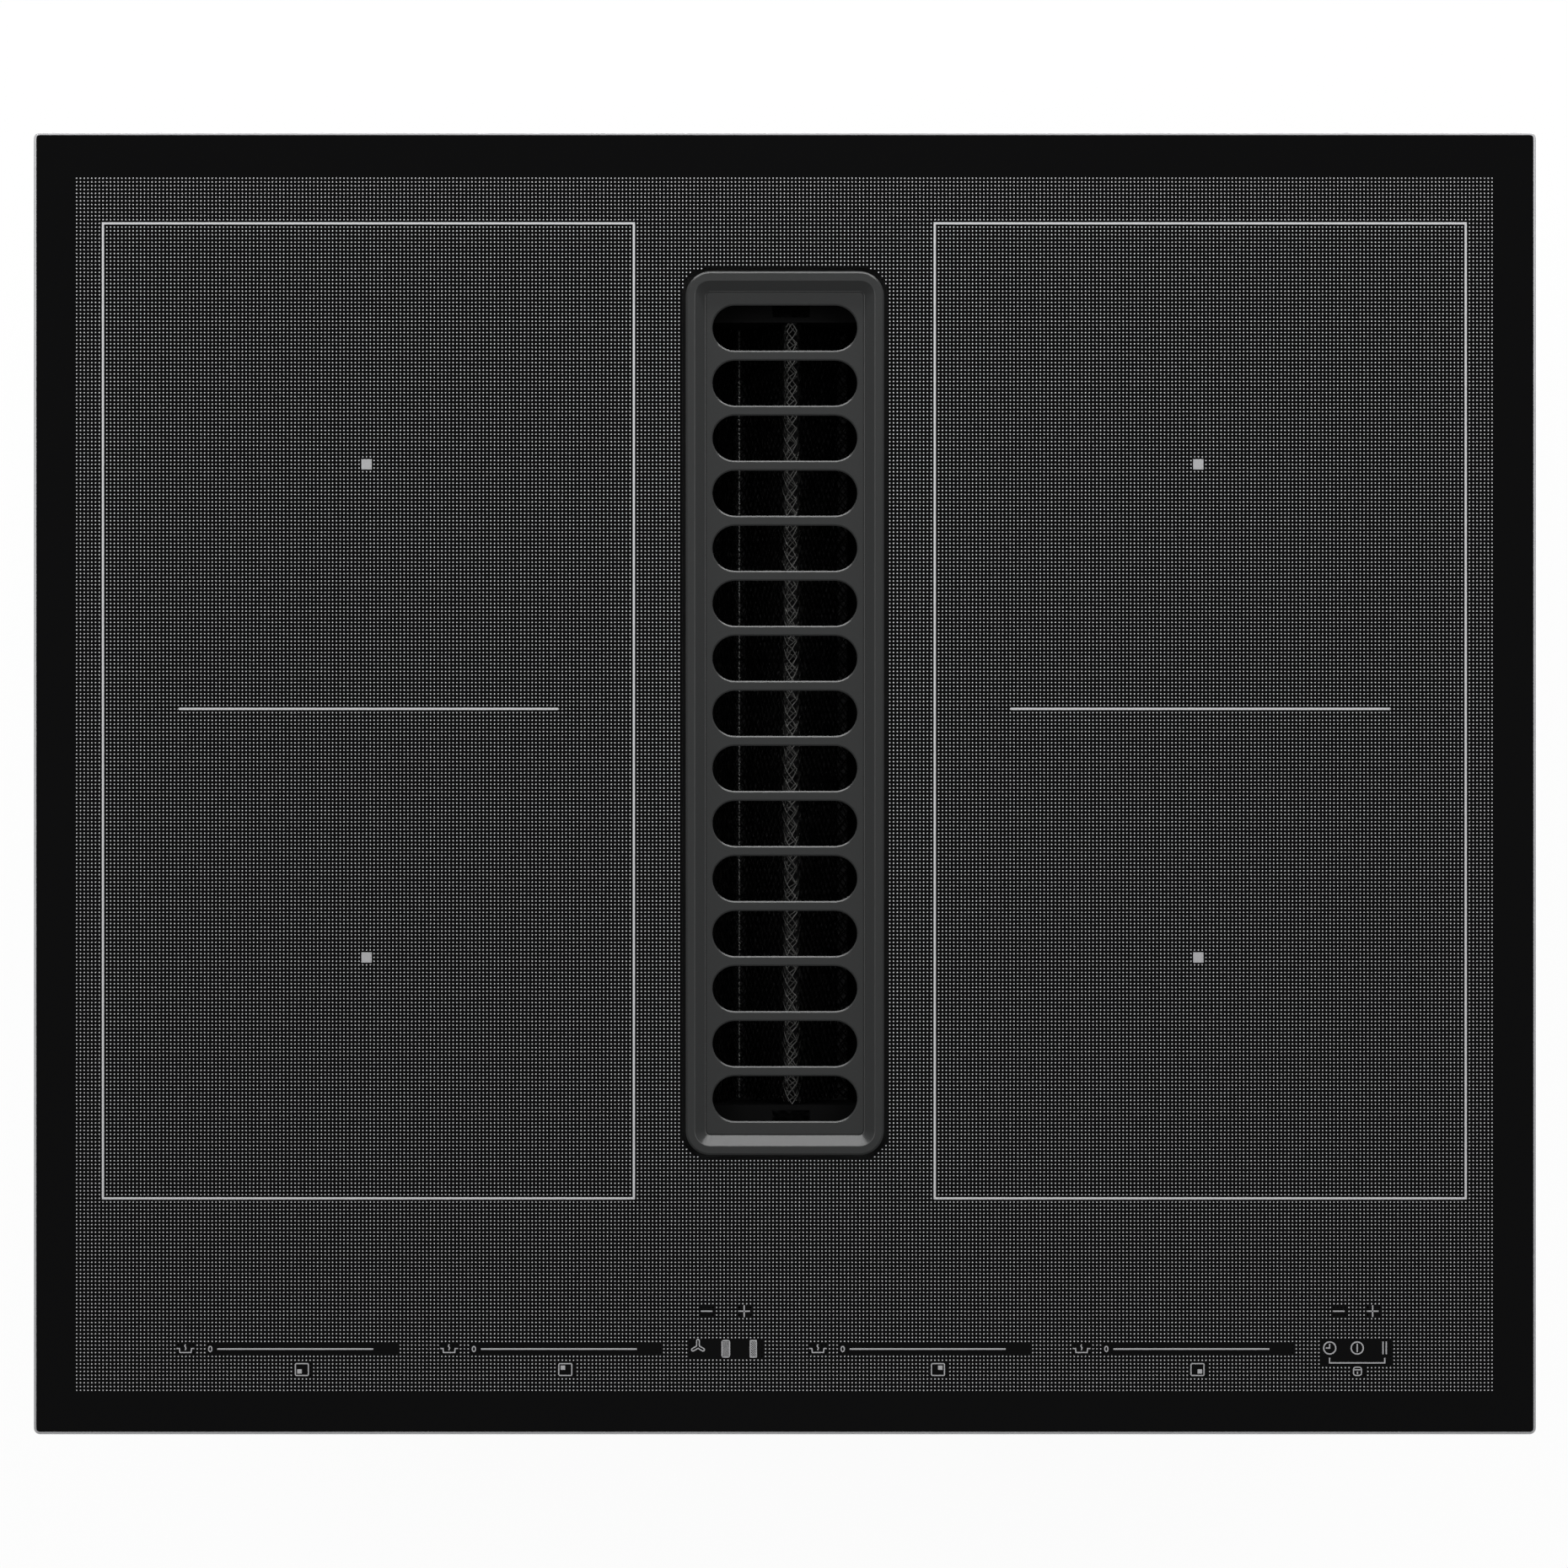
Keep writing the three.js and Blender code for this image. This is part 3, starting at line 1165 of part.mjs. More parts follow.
/** One forward-curved blade: a thin arc between the inner and outer radius. */
function impellerBlade(low, high) {
  const steps = 2;
  const lean = 0.16;
  const inner = IMPELLER_RADIUS - BLADE_DEPTH;
  const front = [];
  const rear = [];
  for (let i = 0; i <= steps; i += 1) {
    const t = i / steps;
    const radius = inner + (BLADE_DEPTH - SHROUD_HEIGHT / 4) * t;
    const angle = lean * t * t;
    const half = BLADE_THICKNESS / 2 / radius;
    front.push([radius * Math.cos(angle + half), radius * Math.sin(angle + half)]);
    rear.unshift([radius * Math.cos(angle - half), radius * Math.sin(angle - half)]);
  }
  return slab(polygon([...rear, ...front].reverse()), low, high);
}

/** The impeller: a domed hub over the motor, a ring of blades and a shroud ring on top. */
function impellerSolid() {
  const bore = SHAFT_RADIUS + FIT;
  const cavity = MOTOR_RADIUS + 4;
  const roof = mountTop + FIT + MOTOR_HEIGHT + 3;
  const plateTop = impellerBottom + IMPELLER_PLATE;
  const t = IMPELLER_PLATE;
  const hub = revolve([
    [bore, roof], [cavity - 8, roof], [cavity, roof - 8], [cavity, impellerBottom],
    [IMPELLER_RADIUS, impellerBottom], [IMPELLER_RADIUS, plateTop], [cavity + t, plateTop],
    [cavity + t, roof - 7], [cavity - 7, roof + t],
    [bore + 4, roof + t], [bore + 4, roof + 3 * t], [bore, roof + 3 * t],
  ]);
  const inner = IMPELLER_RADIUS - BLADE_DEPTH;
  const shroudLow = impellerTop - SHROUD_HEIGHT;
  const shroud = revolve([
    [inner + 1, shroudLow], [IMPELLER_RADIUS, shroudLow], [IMPELLER_RADIUS, impellerTop - 1],
    [inner + 3, impellerTop], [inner + 1, impellerTop],
  ]);
  const blade = impellerBlade(impellerBottom + t / 2, shroudLow + SHROUD_HEIGHT / 2);
  const blades = Array.from({ length: BLADE_COUNT }, (_, i) => blade.rotate([0, 0, (i * 360) / BLADE_COUNT]));
  return join(hub, shroud, ...blades);
}

/** The motor: a can with a rounded shoulder and the shaft that carries the impeller. */
function motorSolid() {
  const low = mountTop + FIT;
  const high = low + MOTOR_HEIGHT;
  return revolve([
    [0, low], [MOTOR_RADIUS, low], [MOTOR_RADIUS, high - MOTOR_SHOULDER],
    [MOTOR_RADIUS - MOTOR_SHOULDER, high], [SHAFT_RADIUS, high],
    [SHAFT_RADIUS, high + SHAFT_LENGTH], [0, high + SHAFT_LENGTH],
  ]);
}

/** The motor mount: a plate with three arms that end in round bushes. */
function motorMountSolid() {
  const low = scrollFloor + FIT;
  const plate = post(0, 0, MOTOR_RADIUS, low, mountTop, ROUND_SIDES);
  const arm = block([0, -MOUNT_ARM / 2, low], [MOUNT_REACH, MOUNT_ARM / 2, mountTop]);
  const bush = post(MOUNT_REACH, 0, BUSH_RADIUS, low, mountTop + BUSH_RISE, 8);
  const legs = [30, 150, 270].map((angle) => join(arm, bush).rotate([0, 0, angle]));
  return join(plate, ...legs);
}

const blower = new THREE.Group();
blower.position.set(blowerX, BLOWER_CENTRE_Y, 0);
extraction.add(blower);
place(extraction, 'blower_scroll', scrollSolid(), 'darkPlastic');
place(extraction, 'blower_cover', scrollCoverSolid(), 'darkPlastic');
place(blower, 'blower_motor', motorSolid(), 'motorSteel');
place(blower, 'motor_mount', motorMountSolid(), 'zincSheet');
place(blower, 'impeller', impellerSolid(), 'greyPlastic');

// ---- Duct collar on the back of the air box -------------------------------------------------------------

function ductCollarSolid() {
  const gap = SCROLL_WALL + FIT;
  const left = outletLeft - gap;
  const right = outletRight + gap;
  const low = scrollBottom - FIT;
  const high = coverTop + FIT;
  const w = DUCT_WALL;
  const face = boxBack + FIT;
  return cut(
    join(
      block(
        [left - w - DUCT_FLANGE, face, low - DUCT_FLANGE / 2],
        [Math.min(right + w + DUCT_FLANGE, boxRight), face + w, high + w + DUCT_FLANGE],
      ),
      block([left - w, face, low - w], [right + w, face + DUCT_LENGTH, high + w]),
    ),
    block([left, face - BITE, low], [right, face + DUCT_LENGTH + BITE, high]),
  );
}

place(extraction, 'duct_collar', ductCollarSolid(), 'darkPlastic');

export default cooktop;
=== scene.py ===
"""Looks of a downdraft induction cooktop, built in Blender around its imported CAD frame.

The object stands on z = 0 with the middle of its glass over the origin, +Y towards its back.
Each class below dresses one sub-assembly: it makes the pieces that the CAD solids are too
plain for and gives every solid that stays a procedural material.
"""

from __future__ import annotations

import json
import logging
import math
import random
from collections.abc import Iterable, Mapping, Sequence
from dataclasses import dataclass, field, replace
from enum import Enum
from itertools import product

import bpy
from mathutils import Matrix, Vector

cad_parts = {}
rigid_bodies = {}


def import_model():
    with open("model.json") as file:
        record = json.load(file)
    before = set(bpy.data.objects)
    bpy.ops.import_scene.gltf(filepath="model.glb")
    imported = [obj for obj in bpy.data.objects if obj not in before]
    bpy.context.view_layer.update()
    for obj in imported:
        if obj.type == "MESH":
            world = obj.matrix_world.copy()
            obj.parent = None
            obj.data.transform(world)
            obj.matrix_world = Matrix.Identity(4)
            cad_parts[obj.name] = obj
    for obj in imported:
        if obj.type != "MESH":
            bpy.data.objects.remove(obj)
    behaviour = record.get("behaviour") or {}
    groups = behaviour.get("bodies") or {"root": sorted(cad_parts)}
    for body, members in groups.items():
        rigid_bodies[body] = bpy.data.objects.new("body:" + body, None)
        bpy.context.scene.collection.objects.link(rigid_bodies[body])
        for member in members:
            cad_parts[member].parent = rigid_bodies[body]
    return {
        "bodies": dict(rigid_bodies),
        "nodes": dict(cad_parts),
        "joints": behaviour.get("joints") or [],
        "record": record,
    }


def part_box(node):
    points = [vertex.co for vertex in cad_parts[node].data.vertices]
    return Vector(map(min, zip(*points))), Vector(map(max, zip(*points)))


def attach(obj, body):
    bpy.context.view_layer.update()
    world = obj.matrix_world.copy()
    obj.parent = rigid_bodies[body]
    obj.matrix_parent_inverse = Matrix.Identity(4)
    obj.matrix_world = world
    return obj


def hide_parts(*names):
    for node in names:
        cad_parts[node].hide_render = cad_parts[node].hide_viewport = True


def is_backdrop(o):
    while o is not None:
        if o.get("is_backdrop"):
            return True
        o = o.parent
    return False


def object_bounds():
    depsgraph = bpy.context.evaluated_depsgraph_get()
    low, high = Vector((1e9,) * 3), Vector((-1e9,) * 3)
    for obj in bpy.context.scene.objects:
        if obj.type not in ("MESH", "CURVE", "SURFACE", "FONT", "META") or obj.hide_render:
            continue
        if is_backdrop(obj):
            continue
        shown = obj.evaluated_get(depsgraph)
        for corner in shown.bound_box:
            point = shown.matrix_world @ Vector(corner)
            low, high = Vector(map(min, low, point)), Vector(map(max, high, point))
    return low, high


log = logging.getLogger("cooktop")

MM = 0.001

Point = tuple[float, float]
Points = tuple[Point, ...]
Point3 = tuple[float, float, float]
Pieces = list[bpy.types.Object]

# The top of the glass above the floor, in millimetres
GLASS_TOP = 209.6


# ---- Nodes -----------------------------------------------------------------------------

FLOAT = "NodeSocketFloat"
VECTOR = "NodeSocketVector"
COLOUR = "NodeSocketColor"
GEOMETRY = "NodeSocketGeometry"
INTEGER = "NodeSocketInt"
MATERIAL = "NodeSocketMaterial"

Sockets = Sequence[tuple[str, str, object]]


class Nodes:
    """A node tree with short ways to add nodes and to feed their inputs."""

    def __init__(self, tree: bpy.types.NodeTree) -> None:
        """Wraps a tree.

        Args:
            tree: the shader or geometry tree that the nodes go into.
        """
        self.tree = tree

    def add(
        self, kind: str, inputs: Mapping[str | int, object] | None = None, **settings: object
    ) -> bpy.types.Node:
        """Adds one node.

        Args:
            kind: the node's type, such as "ShaderNodeTexNoise".
            inputs: what its inputs get, as in feed().
            settings: properties of the node, such as operation="MULTIPLY".

        Returns:
            The new node.
        """
        node = self.tree.nodes.new(kind)
        for name, value in settings.items():
            setattr(node, name, value)
        self.feed(node, inputs or {})
        return node

    def feed(self, node: bpy.types.Node, inputs: Mapping[str | int, object]) -> None:
        """Links or sets some inputs of a node.

        Args:
            node: the node.
            inputs: a socket, a node (for its first output) or a plain value for each input.
        """
        for key, value in inputs.items():
            if isinstance(value, bpy.types.Node):
                value = value.outputs[0]
            if isinstance(value, bpy.types.NodeSocket):
                self.tree.links.new(value, node.inputs[key])
            else:
                node.inputs[key].default_value = value

    def math(self, operation: str, *values: object) -> bpy.types.NodeSocket:
        """Adds a Math node.

        Args:
            operation: the Math node's operation.
            values: numbers or sockets for its inputs, in order.

        Returns:
            The result's socket.
        """
        return self.add("ShaderNodeMath", dict(enumerate(values)), operation=operation).outputs[0]

    def vector(self, *parts: object) -> bpy.types.NodeSocket:
        """Joins three numbers to a vector.

        Args:
            parts: its X, Y and Z, as numbers or sockets.

        Returns:
            The vector's socket.
        """
        return self.add("ShaderNodeCombineXYZ", dict(enumerate(parts))).outputs[0]

    def mix_colour(self, factor: object, first: object, second: object) -> bpy.types.NodeSocket:
        """Mixes two colours.

        Args:
            factor: how much of the second colour, from 0 to 1.
            first: a colour or a socket.
            second: a colour or a socket.

        Returns:
            The mixed colour's socket.
        """
        inputs = {0: factor, 6: first, 7: second}
        return self.add("ShaderNodeMix", inputs, data_type="RGBA").outputs[2]

    def span(self, value: object, low: float, high: float) -> bpy.types.NodeSocket:
        """Maps a value from 0..1 to another range.

        Args:
            value: the socket to map.
            low: what 0 becomes.
            high: what 1 becomes.

        Returns:
            The mapped value's socket.
        """
        inputs = {"Value": value, "To Min": low, "To Max": high}
        return self.add("ShaderNodeMapRange", inputs).outputs[0]


class Group(Nodes):
    """A shader node group with named inputs and one output."""

    KIND = "ShaderNodeTree"

    def __init__(self, name: str, inputs: Sockets, output: tuple[str, str]) -> None:
        """Makes the group's sockets.

        Args:
            name: the group's name.
            inputs: name, socket type and default value (or None) of each input.
            output: name and socket type of its output.
        """
        super().__init__(bpy.data.node_groups.new(name, self.KIND))
        interface = self.tree.interface
        for label, socket_type, value in inputs:
            socket = interface.new_socket(label, in_out="INPUT", socket_type=socket_type)
            if value is not None:
                socket.default_value = value
        interface.new_socket(output[0], in_out="OUTPUT", socket_type=output[1])
        self.given = self.add("NodeGroupInput").outputs
        self.end = self.add("NodeGroupOutput")

    def give(self, result: object) -> bpy.types.NodeTree:
        """Ends the group.

        Args:
            result: the node or socket that its output passes on.

        Returns:
            The group's tree.
        """
        self.feed(self.end, {0: result})
        return self.tree


class GeometryGroup(Group):
    """A Geometry Nodes group that makes geometry of one material from a given mesh."""

    KIND = "GeometryNodeTree"

    def __init__(self, name: str, sizes: Sockets) -> None:
        """Makes the group's sockets.

        Args:
            name: the group's name.
            sizes: its inputs besides the mesh and the material.
        """
        inputs = [("Given", GEOMETRY, None), *sizes, ("Material", MATERIAL, None)]
        super().__init__(name, inputs, ("Made", GEOMETRY))

    def block(self, size: Iterable[object], centre: Iterable[object]) -> bpy.types.Node:
        """Makes a cuboid.

        Args:
            size: its extent along X, Y and Z.
            centre: where its middle goes.

        Returns:
            The node that gives it.
        """
        cuboid = self.add("GeometryNodeMeshCube", {"Size": self.vector(*size)})
        return self.moved(cuboid, self.vector(*centre))

    def moved(self, shape: bpy.types.Node, step: bpy.types.NodeSocket) -> bpy.types.Node:
        """Moves a shape.

        Args:
            shape: the node that gives the shape.
            step: how far it goes.

        Returns:
            The node that gives it in its new place.
        """
        return self.add("GeometryNodeTransform", {"Geometry": shape, "Translation": step})

    def give(self, result: object) -> bpy.types.NodeTree:
        """Makes the instances real, gives them the material and ends the group.

        Args:
            result: the node or socket with the finished shapes.

        Returns:
            The group's tree.
        """
        real = self.add("GeometryNodeRealizeInstances", {"Geometry": result})
        inputs = {"Geometry": real, "Material": self.given["Material"]}
        return super().give(self.add("GeometryNodeSetMaterial", inputs))


# ---- Patterns and finishes -------------------------------------------------------------


class Pattern(Enum):
    """The shared textures: kind of node, stretch, settings and the output that is used."""

    GRAIN = ("TexNoise", (1.0, 1.0, 1.0), {"Detail": 3.0, "Roughness": 0.6}, "Fac")
    BRUSHED = ("TexNoise", (0.02, 1.0, 1.0), {"Detail": 4.0, "Roughness": 0.7}, "Fac")
    FIBRES = (
        "TexNoise", (0.25, 1.0, 0.6), {"Detail": 6.0, "Roughness": 0.8, "Distortion": 2.0}, "Fac",
    )
    SPANGLE = ("TexVoronoi", (1.0, 1.0, 1.0), {}, "Color")
    GRANULES = ("TexVoronoi", (1.0, 1.0, 1.0), {}, "Distance")


def pattern_group(pattern: Pattern) -> bpy.types.NodeTree:
    """Builds the node group of a pattern.

    Args:
        pattern: the pattern.

    Returns:
        The group's tree.
    """
    kind, stretch, settings, output = pattern.value
    inputs = [("Vector", VECTOR, None), ("Scale", FLOAT, 100.0)]
    group = Group(pattern.name.lower(), inputs, ("Value", FLOAT))
    place = group.add("ShaderNodeMapping", {"Vector": group.given["Vector"], "Scale": stretch})
    inputs = {"Vector": place, "Scale": group.given["Scale"], **settings}
    return group.give(group.add(f"ShaderNode{kind}", inputs).outputs[output])


def dust_group() -> bpy.types.NodeTree:
    """Builds the group that veils a colour with faint, uneven dust.

    Returns:
        The group's tree.
    """
    inputs = [
        ("Vector", VECTOR, None),
        ("Color", COLOUR, (0.5, 0.5, 0.5, 1.0)),
        ("Dust", COLOUR, (0.32, 0.3, 0.27, 1.0)),
        ("Amount", FLOAT, 0.1),
    ]
    group = Group("dust", inputs, ("Color", COLOUR))
    given = group.given
    inputs = {"Scale": 14.0, "Detail": 5.0, "Vector": given["Vector"]}
    patches = group.math("SUBTRACT", group.add("ShaderNodeTexNoise", inputs), 0.35)
    held = group.math("MAXIMUM", group.math("MULTIPLY", patches, 2.2), 0.0)
    mask = group.math("MULTIPLY", held, given["Amount"])
    return group.give(group.mix_colour(mask, given["Color"], given["Dust"]))


@dataclass(frozen=True)
class Finish:
    """A material in plain numbers. Scales are in cycles per metre, depths in metres."""

    name: str
    colour: Point3
    second: Point3
    pattern: Pattern
    scale: float
    metallic: float = 0.0
    roughness: Point = (0.4, 0.5)
    bump: float = 0.0
    bump_depth: float = 0.0001
    dust: float = 0.0
    specular: float = 0.5
    ior: float = 1.5
    # Heights in metres below which painted shade darkens the colour, if any
    painted_shade_heights: Point | None = None


GLASS = Finish(
    "glass_ceramic", (0.0013, 0.0013, 0.0015), (0.0018, 0.0018, 0.002), Pattern.GRAIN, 9.0,
    roughness=(0.03, 0.07), ior=1.52,
)
PRINT = Finish(
    "glass_print", (0.57, 0.57, 0.58), (0.51, 0.51, 0.52), Pattern.GRAIN, 2600.0,
    roughness=(0.45, 0.6), bump=0.1, bump_depth=0.00002, specular=0.3,
)
THIN_PRINT = Finish(
    "glass_print_thin", (0.42, 0.42, 0.43), (0.36, 0.36, 0.37), Pattern.GRAIN, 2600.0,
    roughness=(0.45, 0.6), bump=0.1, bump_depth=0.00002, specular=0.3,
)
TRIM = Finish(
    "edge_trim", (0.6, 0.6, 0.61), (0.5, 0.5, 0.51), Pattern.BRUSHED, 900.0,
    metallic=1.0, roughness=(0.42, 0.52), bump=0.05, bump_depth=0.00002,
)
CAST = Finish(
    "grille_metal", (0.03, 0.031, 0.031), (0.037, 0.038, 0.038), Pattern.GRAIN, 1500.0,
    roughness=(0.26, 0.34), bump=0.12, bump_depth=0.00006, specular=0.38,
)
# The filter mesh gets painted shade below its ridge's top and a painted glint line in its left fold
MESH = Finish(
    "filter_mesh", (0.165, 0.165, 0.16), (0.045, 0.044, 0.042), Pattern.GRAIN, 520.0,
    metallic=1.0, roughness=(0.26, 0.45), bump=0.1, bump_depth=0.00003, painted_shade_heights=(0.1875, 0.1938),
)
BLACK_ENAMEL = Finish(
    "black_enamel", (0.0014, 0.0014, 0.0015), (0.0024, 0.0024, 0.0025), Pattern.GRAIN, 1800.0,
    roughness=(0.5, 0.62), bump=0.15, bump_depth=0.00005, specular=0.08,
)
CARBON = Finish(
    "carbon_granules", (0.012, 0.012, 0.013), (0.05, 0.05, 0.052), Pattern.GRANULES, 420.0,
    roughness=(0.55, 0.8), bump=0.9, bump_depth=0.0009,
)
ZINC = Finish(
    "zinc_sheet", (0.56, 0.57, 0.58), (0.47, 0.48, 0.5), Pattern.SPANGLE, 150.0,
    metallic=1.0, roughness=(0.34, 0.44), bump=0.03, bump_depth=0.00003, dust=0.12,
)
GREY_PLASTIC = Finish(
    "grey_plastic", (0.045, 0.048, 0.051), (0.06, 0.063, 0.066), Pattern.GRAIN, 1300.0,
    roughness=(0.42, 0.56), bump=0.22, bump_depth=0.00008, dust=0.1,
)
DARK_PLASTIC = Finish(
    "dark_plastic", (0.016, 0.016, 0.017), (0.028, 0.028, 0.029), Pattern.GRAIN, 1500.0,
    roughness=(0.4, 0.55), bump=0.2, bump_depth=0.00007, dust=0.06,
)
ALUMINIUM = Finish(
    "aluminium", (0.74, 0.75, 0.76), (0.6, 0.61, 0.62), Pattern.BRUSHED, 700.0,
    metallic=1.0, roughness=(0.25, 0.4), bump=0.08, bump_depth=0.00003,
)
WOOL = Finish(
    "ceramic_wool", (0.78, 0.76, 0.7), (0.6, 0.57, 0.5), Pattern.FIBRES, 520.0,
    roughness=(0.85, 0.95), bump=0.7, bump_depth=0.0005,
)
FOAM = Finish(
    "foam_seal", (0.018, 0.018, 0.018), (0.035, 0.035, 0.035), Pattern.GRANULES, 1600.0,
    roughness=(0.8, 0.95), bump=0.6, bump_depth=0.0003,
)
STEEL = Finish(
    "motor_lacquer", (0.13, 0.145, 0.16), (0.17, 0.185, 0.2), Pattern.GRAIN, 900.0,
    roughness=(0.3, 0.42), bump=0.15, bump_depth=0.00006, dust=0.1,
)
SCREW = Finish(
    "screw_steel", (0.66, 0.66, 0.67), (0.5, 0.5, 0.51), Pattern.BRUSHED, 2500.0,
    metallic=1.0, roughness=(0.22, 0.35), bump=0.05, bump_depth=0.00002,
)

# What each CAD node that still shows is made of, by how its name starts
NODE_FINISHES = (
    (GLASS, ("glass_top",)),
    (FOAM, ("worktop_seal",)),
    (ALUMINIUM, ("heatsink", "coil_carrier", "glass_sensor")),
    (CARBON, ("carbon_filter_bed",)),
    (ZINC, ("casing_tub", "coil_shelf", "worktop_clamp")),
    (GREY_PLASTIC, ("air_box", "service_cover", "blower_scroll", "blower_cover")),
    (BLACK_ENAMEL, ("grease_filter_frame",)),
    (DARK_PLASTIC, ("intake_well", "carbon_filter_frame", "touch_carrier", "cooling_fan")),
    (DARK_PLASTIC, ("terminal_box", "terminal_lid", "cable_gland")),
    (DARK_PLASTIC, ("impeller", "duct_collar", "motor_mount")),
    (WOOL, ("insulation_pad",)),
    (STEEL, ("blower_motor",)),
)


class MaterialShop:
    """Makes each material once and hands it out by its finish."""

    # The colour of the painted shade on the filter mesh
    PAINTED_SHADE = (0.008, 0.008, 0.0075, 1.0)
    # A painted glint line along the filter's left fold: its colour, and its place and half width in
    # metres
    PAINTED_GLINT = (0.6, 0.6, 0.59, 1.0)
    PAINTED_GLINT_X = -0.0186
    PAINTED_GLINT_HALF_WIDTH = 0.0003

    def __init__(self) -> None:
        """Builds the shared groups."""
        self.patterns = {pattern: pattern_group(pattern) for pattern in Pattern}
        self.dust = dust_group()
        self.made: dict[Finish, bpy.types.Material] = {}

    def blank(
        self, name: str
    ) -> tuple[bpy.types.Material, Nodes, bpy.types.Node, bpy.types.NodeSocket]:
        """Starts a material.

        Args:
            name: the material's name.

        Returns:
            The material, its nodes, its Principled BSDF and the object's coordinates.
        """
        material = bpy.data.materials.new(name)
        material.use_nodes = True
        nodes = Nodes(material.node_tree)
        place = nodes.add("ShaderNodeTexCoord").outputs["Object"]
        return material, nodes, material.node_tree.nodes["Principled BSDF"], place

    def get(self, finish: Finish) -> bpy.types.Material:
        """Gives the material of a finish.

        Args:
            finish: the numbers that it is made from.

        Returns:
            The material, made on the first call.
        """
        if finish in self.made:
            return self.made[finish]
        material, nodes, shader, place = self.blank(finish.name)
        pattern = self.pattern_value(nodes, finish.pattern, place, finish.scale)
        colour = nodes.mix_colour(pattern, (*finish.colour, 1.0), (*finish.second, 1.0))
        if finish.dust:
            inputs = {"Vector": place, "Color": colour, "Amount": finish.dust}
            colour = nodes.add("ShaderNodeGroup", inputs, node_tree=self.dust)
        # Painted shade below a height, with a painted glint line
        if finish.painted_shade_heights:
            colour = self.painted_shade_and_glint(nodes, place, colour, finish.painted_shade_heights)
        inputs = {
            "Base Color": colour,
            "Roughness": nodes.span(pattern, *finish.roughness),
            "Metallic": finish.metallic,
            "Specular IOR Level": finish.specular,
            "IOR": finish.ior,
        }
        nodes.feed(shader, inputs)
        if finish.bump:
            self.bumped(nodes, shader, pattern, finish.bump, finish.bump_depth)
        self.made[finish] = material
        return material

    def pattern_value(
        self, nodes: Nodes, pattern: Pattern, place: bpy.types.NodeSocket, scale: float
    ) -> bpy.types.NodeSocket:
        """Places a shared pattern in a material.

        Args:
            nodes: the material's nodes.
            pattern: which pattern.
            place: the coordinates that it reads.
            scale: its scale, in cycles per metre.

        Returns:
            The pattern's value, from 0 to 1.
        """
        inputs = {"Vector": place, "Scale": scale}
        return nodes.add("ShaderNodeGroup", inputs, node_tree=self.patterns[pattern]).outputs[0]

    def painted_shade_and_glint(
        self, nodes: Nodes, place: bpy.types.NodeSocket, colour: object, heights: Point
    ) -> bpy.types.NodeSocket:
        """Paints shade over a colour below the ridge's top, and a painted glint line in the left
        fold.

        Args:
            nodes: the material's nodes.
            place: the coordinates that the height is read from.
            colour: the colour before the painted shade.
            heights: where the painted shade is whole and where it ends, in metres.

        Returns:
            The colour's socket, with painted shade and the painted glint line.
        """
        split = nodes.add("ShaderNodeSeparateXYZ", {0: place}).outputs
        inputs = {"Value": split["Z"], "From Min": heights[0], "From Max": heights[1]}
        # Painted shade: the colour goes dark below the ridge's top, in the troughs
        unshaded = nodes.add("ShaderNodeMapRange", inputs, interpolation_type="SMOOTHSTEP")
        # Painted glint: a bright line along the bottom of the left fold
        beside = nodes.math("ABSOLUTE", nodes.math("SUBTRACT", split["X"], self.PAINTED_GLINT_X))
        glint_mask = nodes.math("LESS_THAN", beside, self.PAINTED_GLINT_HALF_WIDTH)
        glinted = nodes.mix_colour(glint_mask, colour, self.PAINTED_GLINT)
        return nodes.mix_colour(nodes.math("MAXIMUM", unshaded, glint_mask), self.PAINTED_SHADE, glinted)

    def bumped(
        self, nodes: Nodes, shader: bpy.types.Node, height: object, strength: float, depth: float
    ) -> None:
        """Gives a material's surface some relief.

        Args:
            nodes: the material's nodes.
            shader: its Principled BSDF.
            height: the relief, from 0 to 1.
            strength: the Bump node's strength.
            depth: the relief's depth in metres.
        """
        inputs = {"Strength": strength, "Distance": depth, "Height": height}
        nodes.feed(shader, {"Normal": nodes.add("ShaderNodeBump", inputs)})

    def copper_winding(self, middle: Point, spread: Point, pitch: float) -> bpy.types.Material:
        """Makes the wound copper of all four coils: rings round the nearest coil's middle.

        Args:
            middle: the point between the four coils, in metres.
            spread: how far each coil's middle is from it, in metres.
            pitch: from one turn to the next, in metres.

        Returns:
            The material.
        """
        material, nodes, shader, place = self.blank("copper_winding")
        split = nodes.add("ShaderNodeSeparateXYZ", {0: place}).outputs
        squares = []
        for axis in range(2):
            away = nodes.math("ABSOLUTE", nodes.math("SUBTRACT", split[axis], middle[axis]))
            side = nodes.math("SUBTRACT", away, spread[axis])
            squares.append(nodes.math("MULTIPLY", side, side))
        radius = nodes.math("SQRT", nodes.math("ADD", *squares))
        wave = nodes.math("SINE", nodes.math("MULTIPLY", radius, 2 * math.pi / pitch))
        turns = nodes.span(nodes.math("ABSOLUTE", wave), 0.0, 1.0)
        strands = self.pattern_value(nodes, Pattern.FIBRES, place, 1500.0)
        tone = nodes.mix_colour(strands, (0.62, 0.27, 0.13, 1.0), (0.42, 0.16, 0.07, 1.0))
        inputs = {
            "Base Color": nodes.mix_colour(turns, (0.09, 0.035, 0.018, 1.0), tone),
            "Roughness": nodes.span(strands, 0.3, 0.45),
            "Metallic": 0.85,
        }
        nodes.feed(shader, inputs)
        self.bumped(nodes, shader, turns, 0.8, 0.0012)
        return material

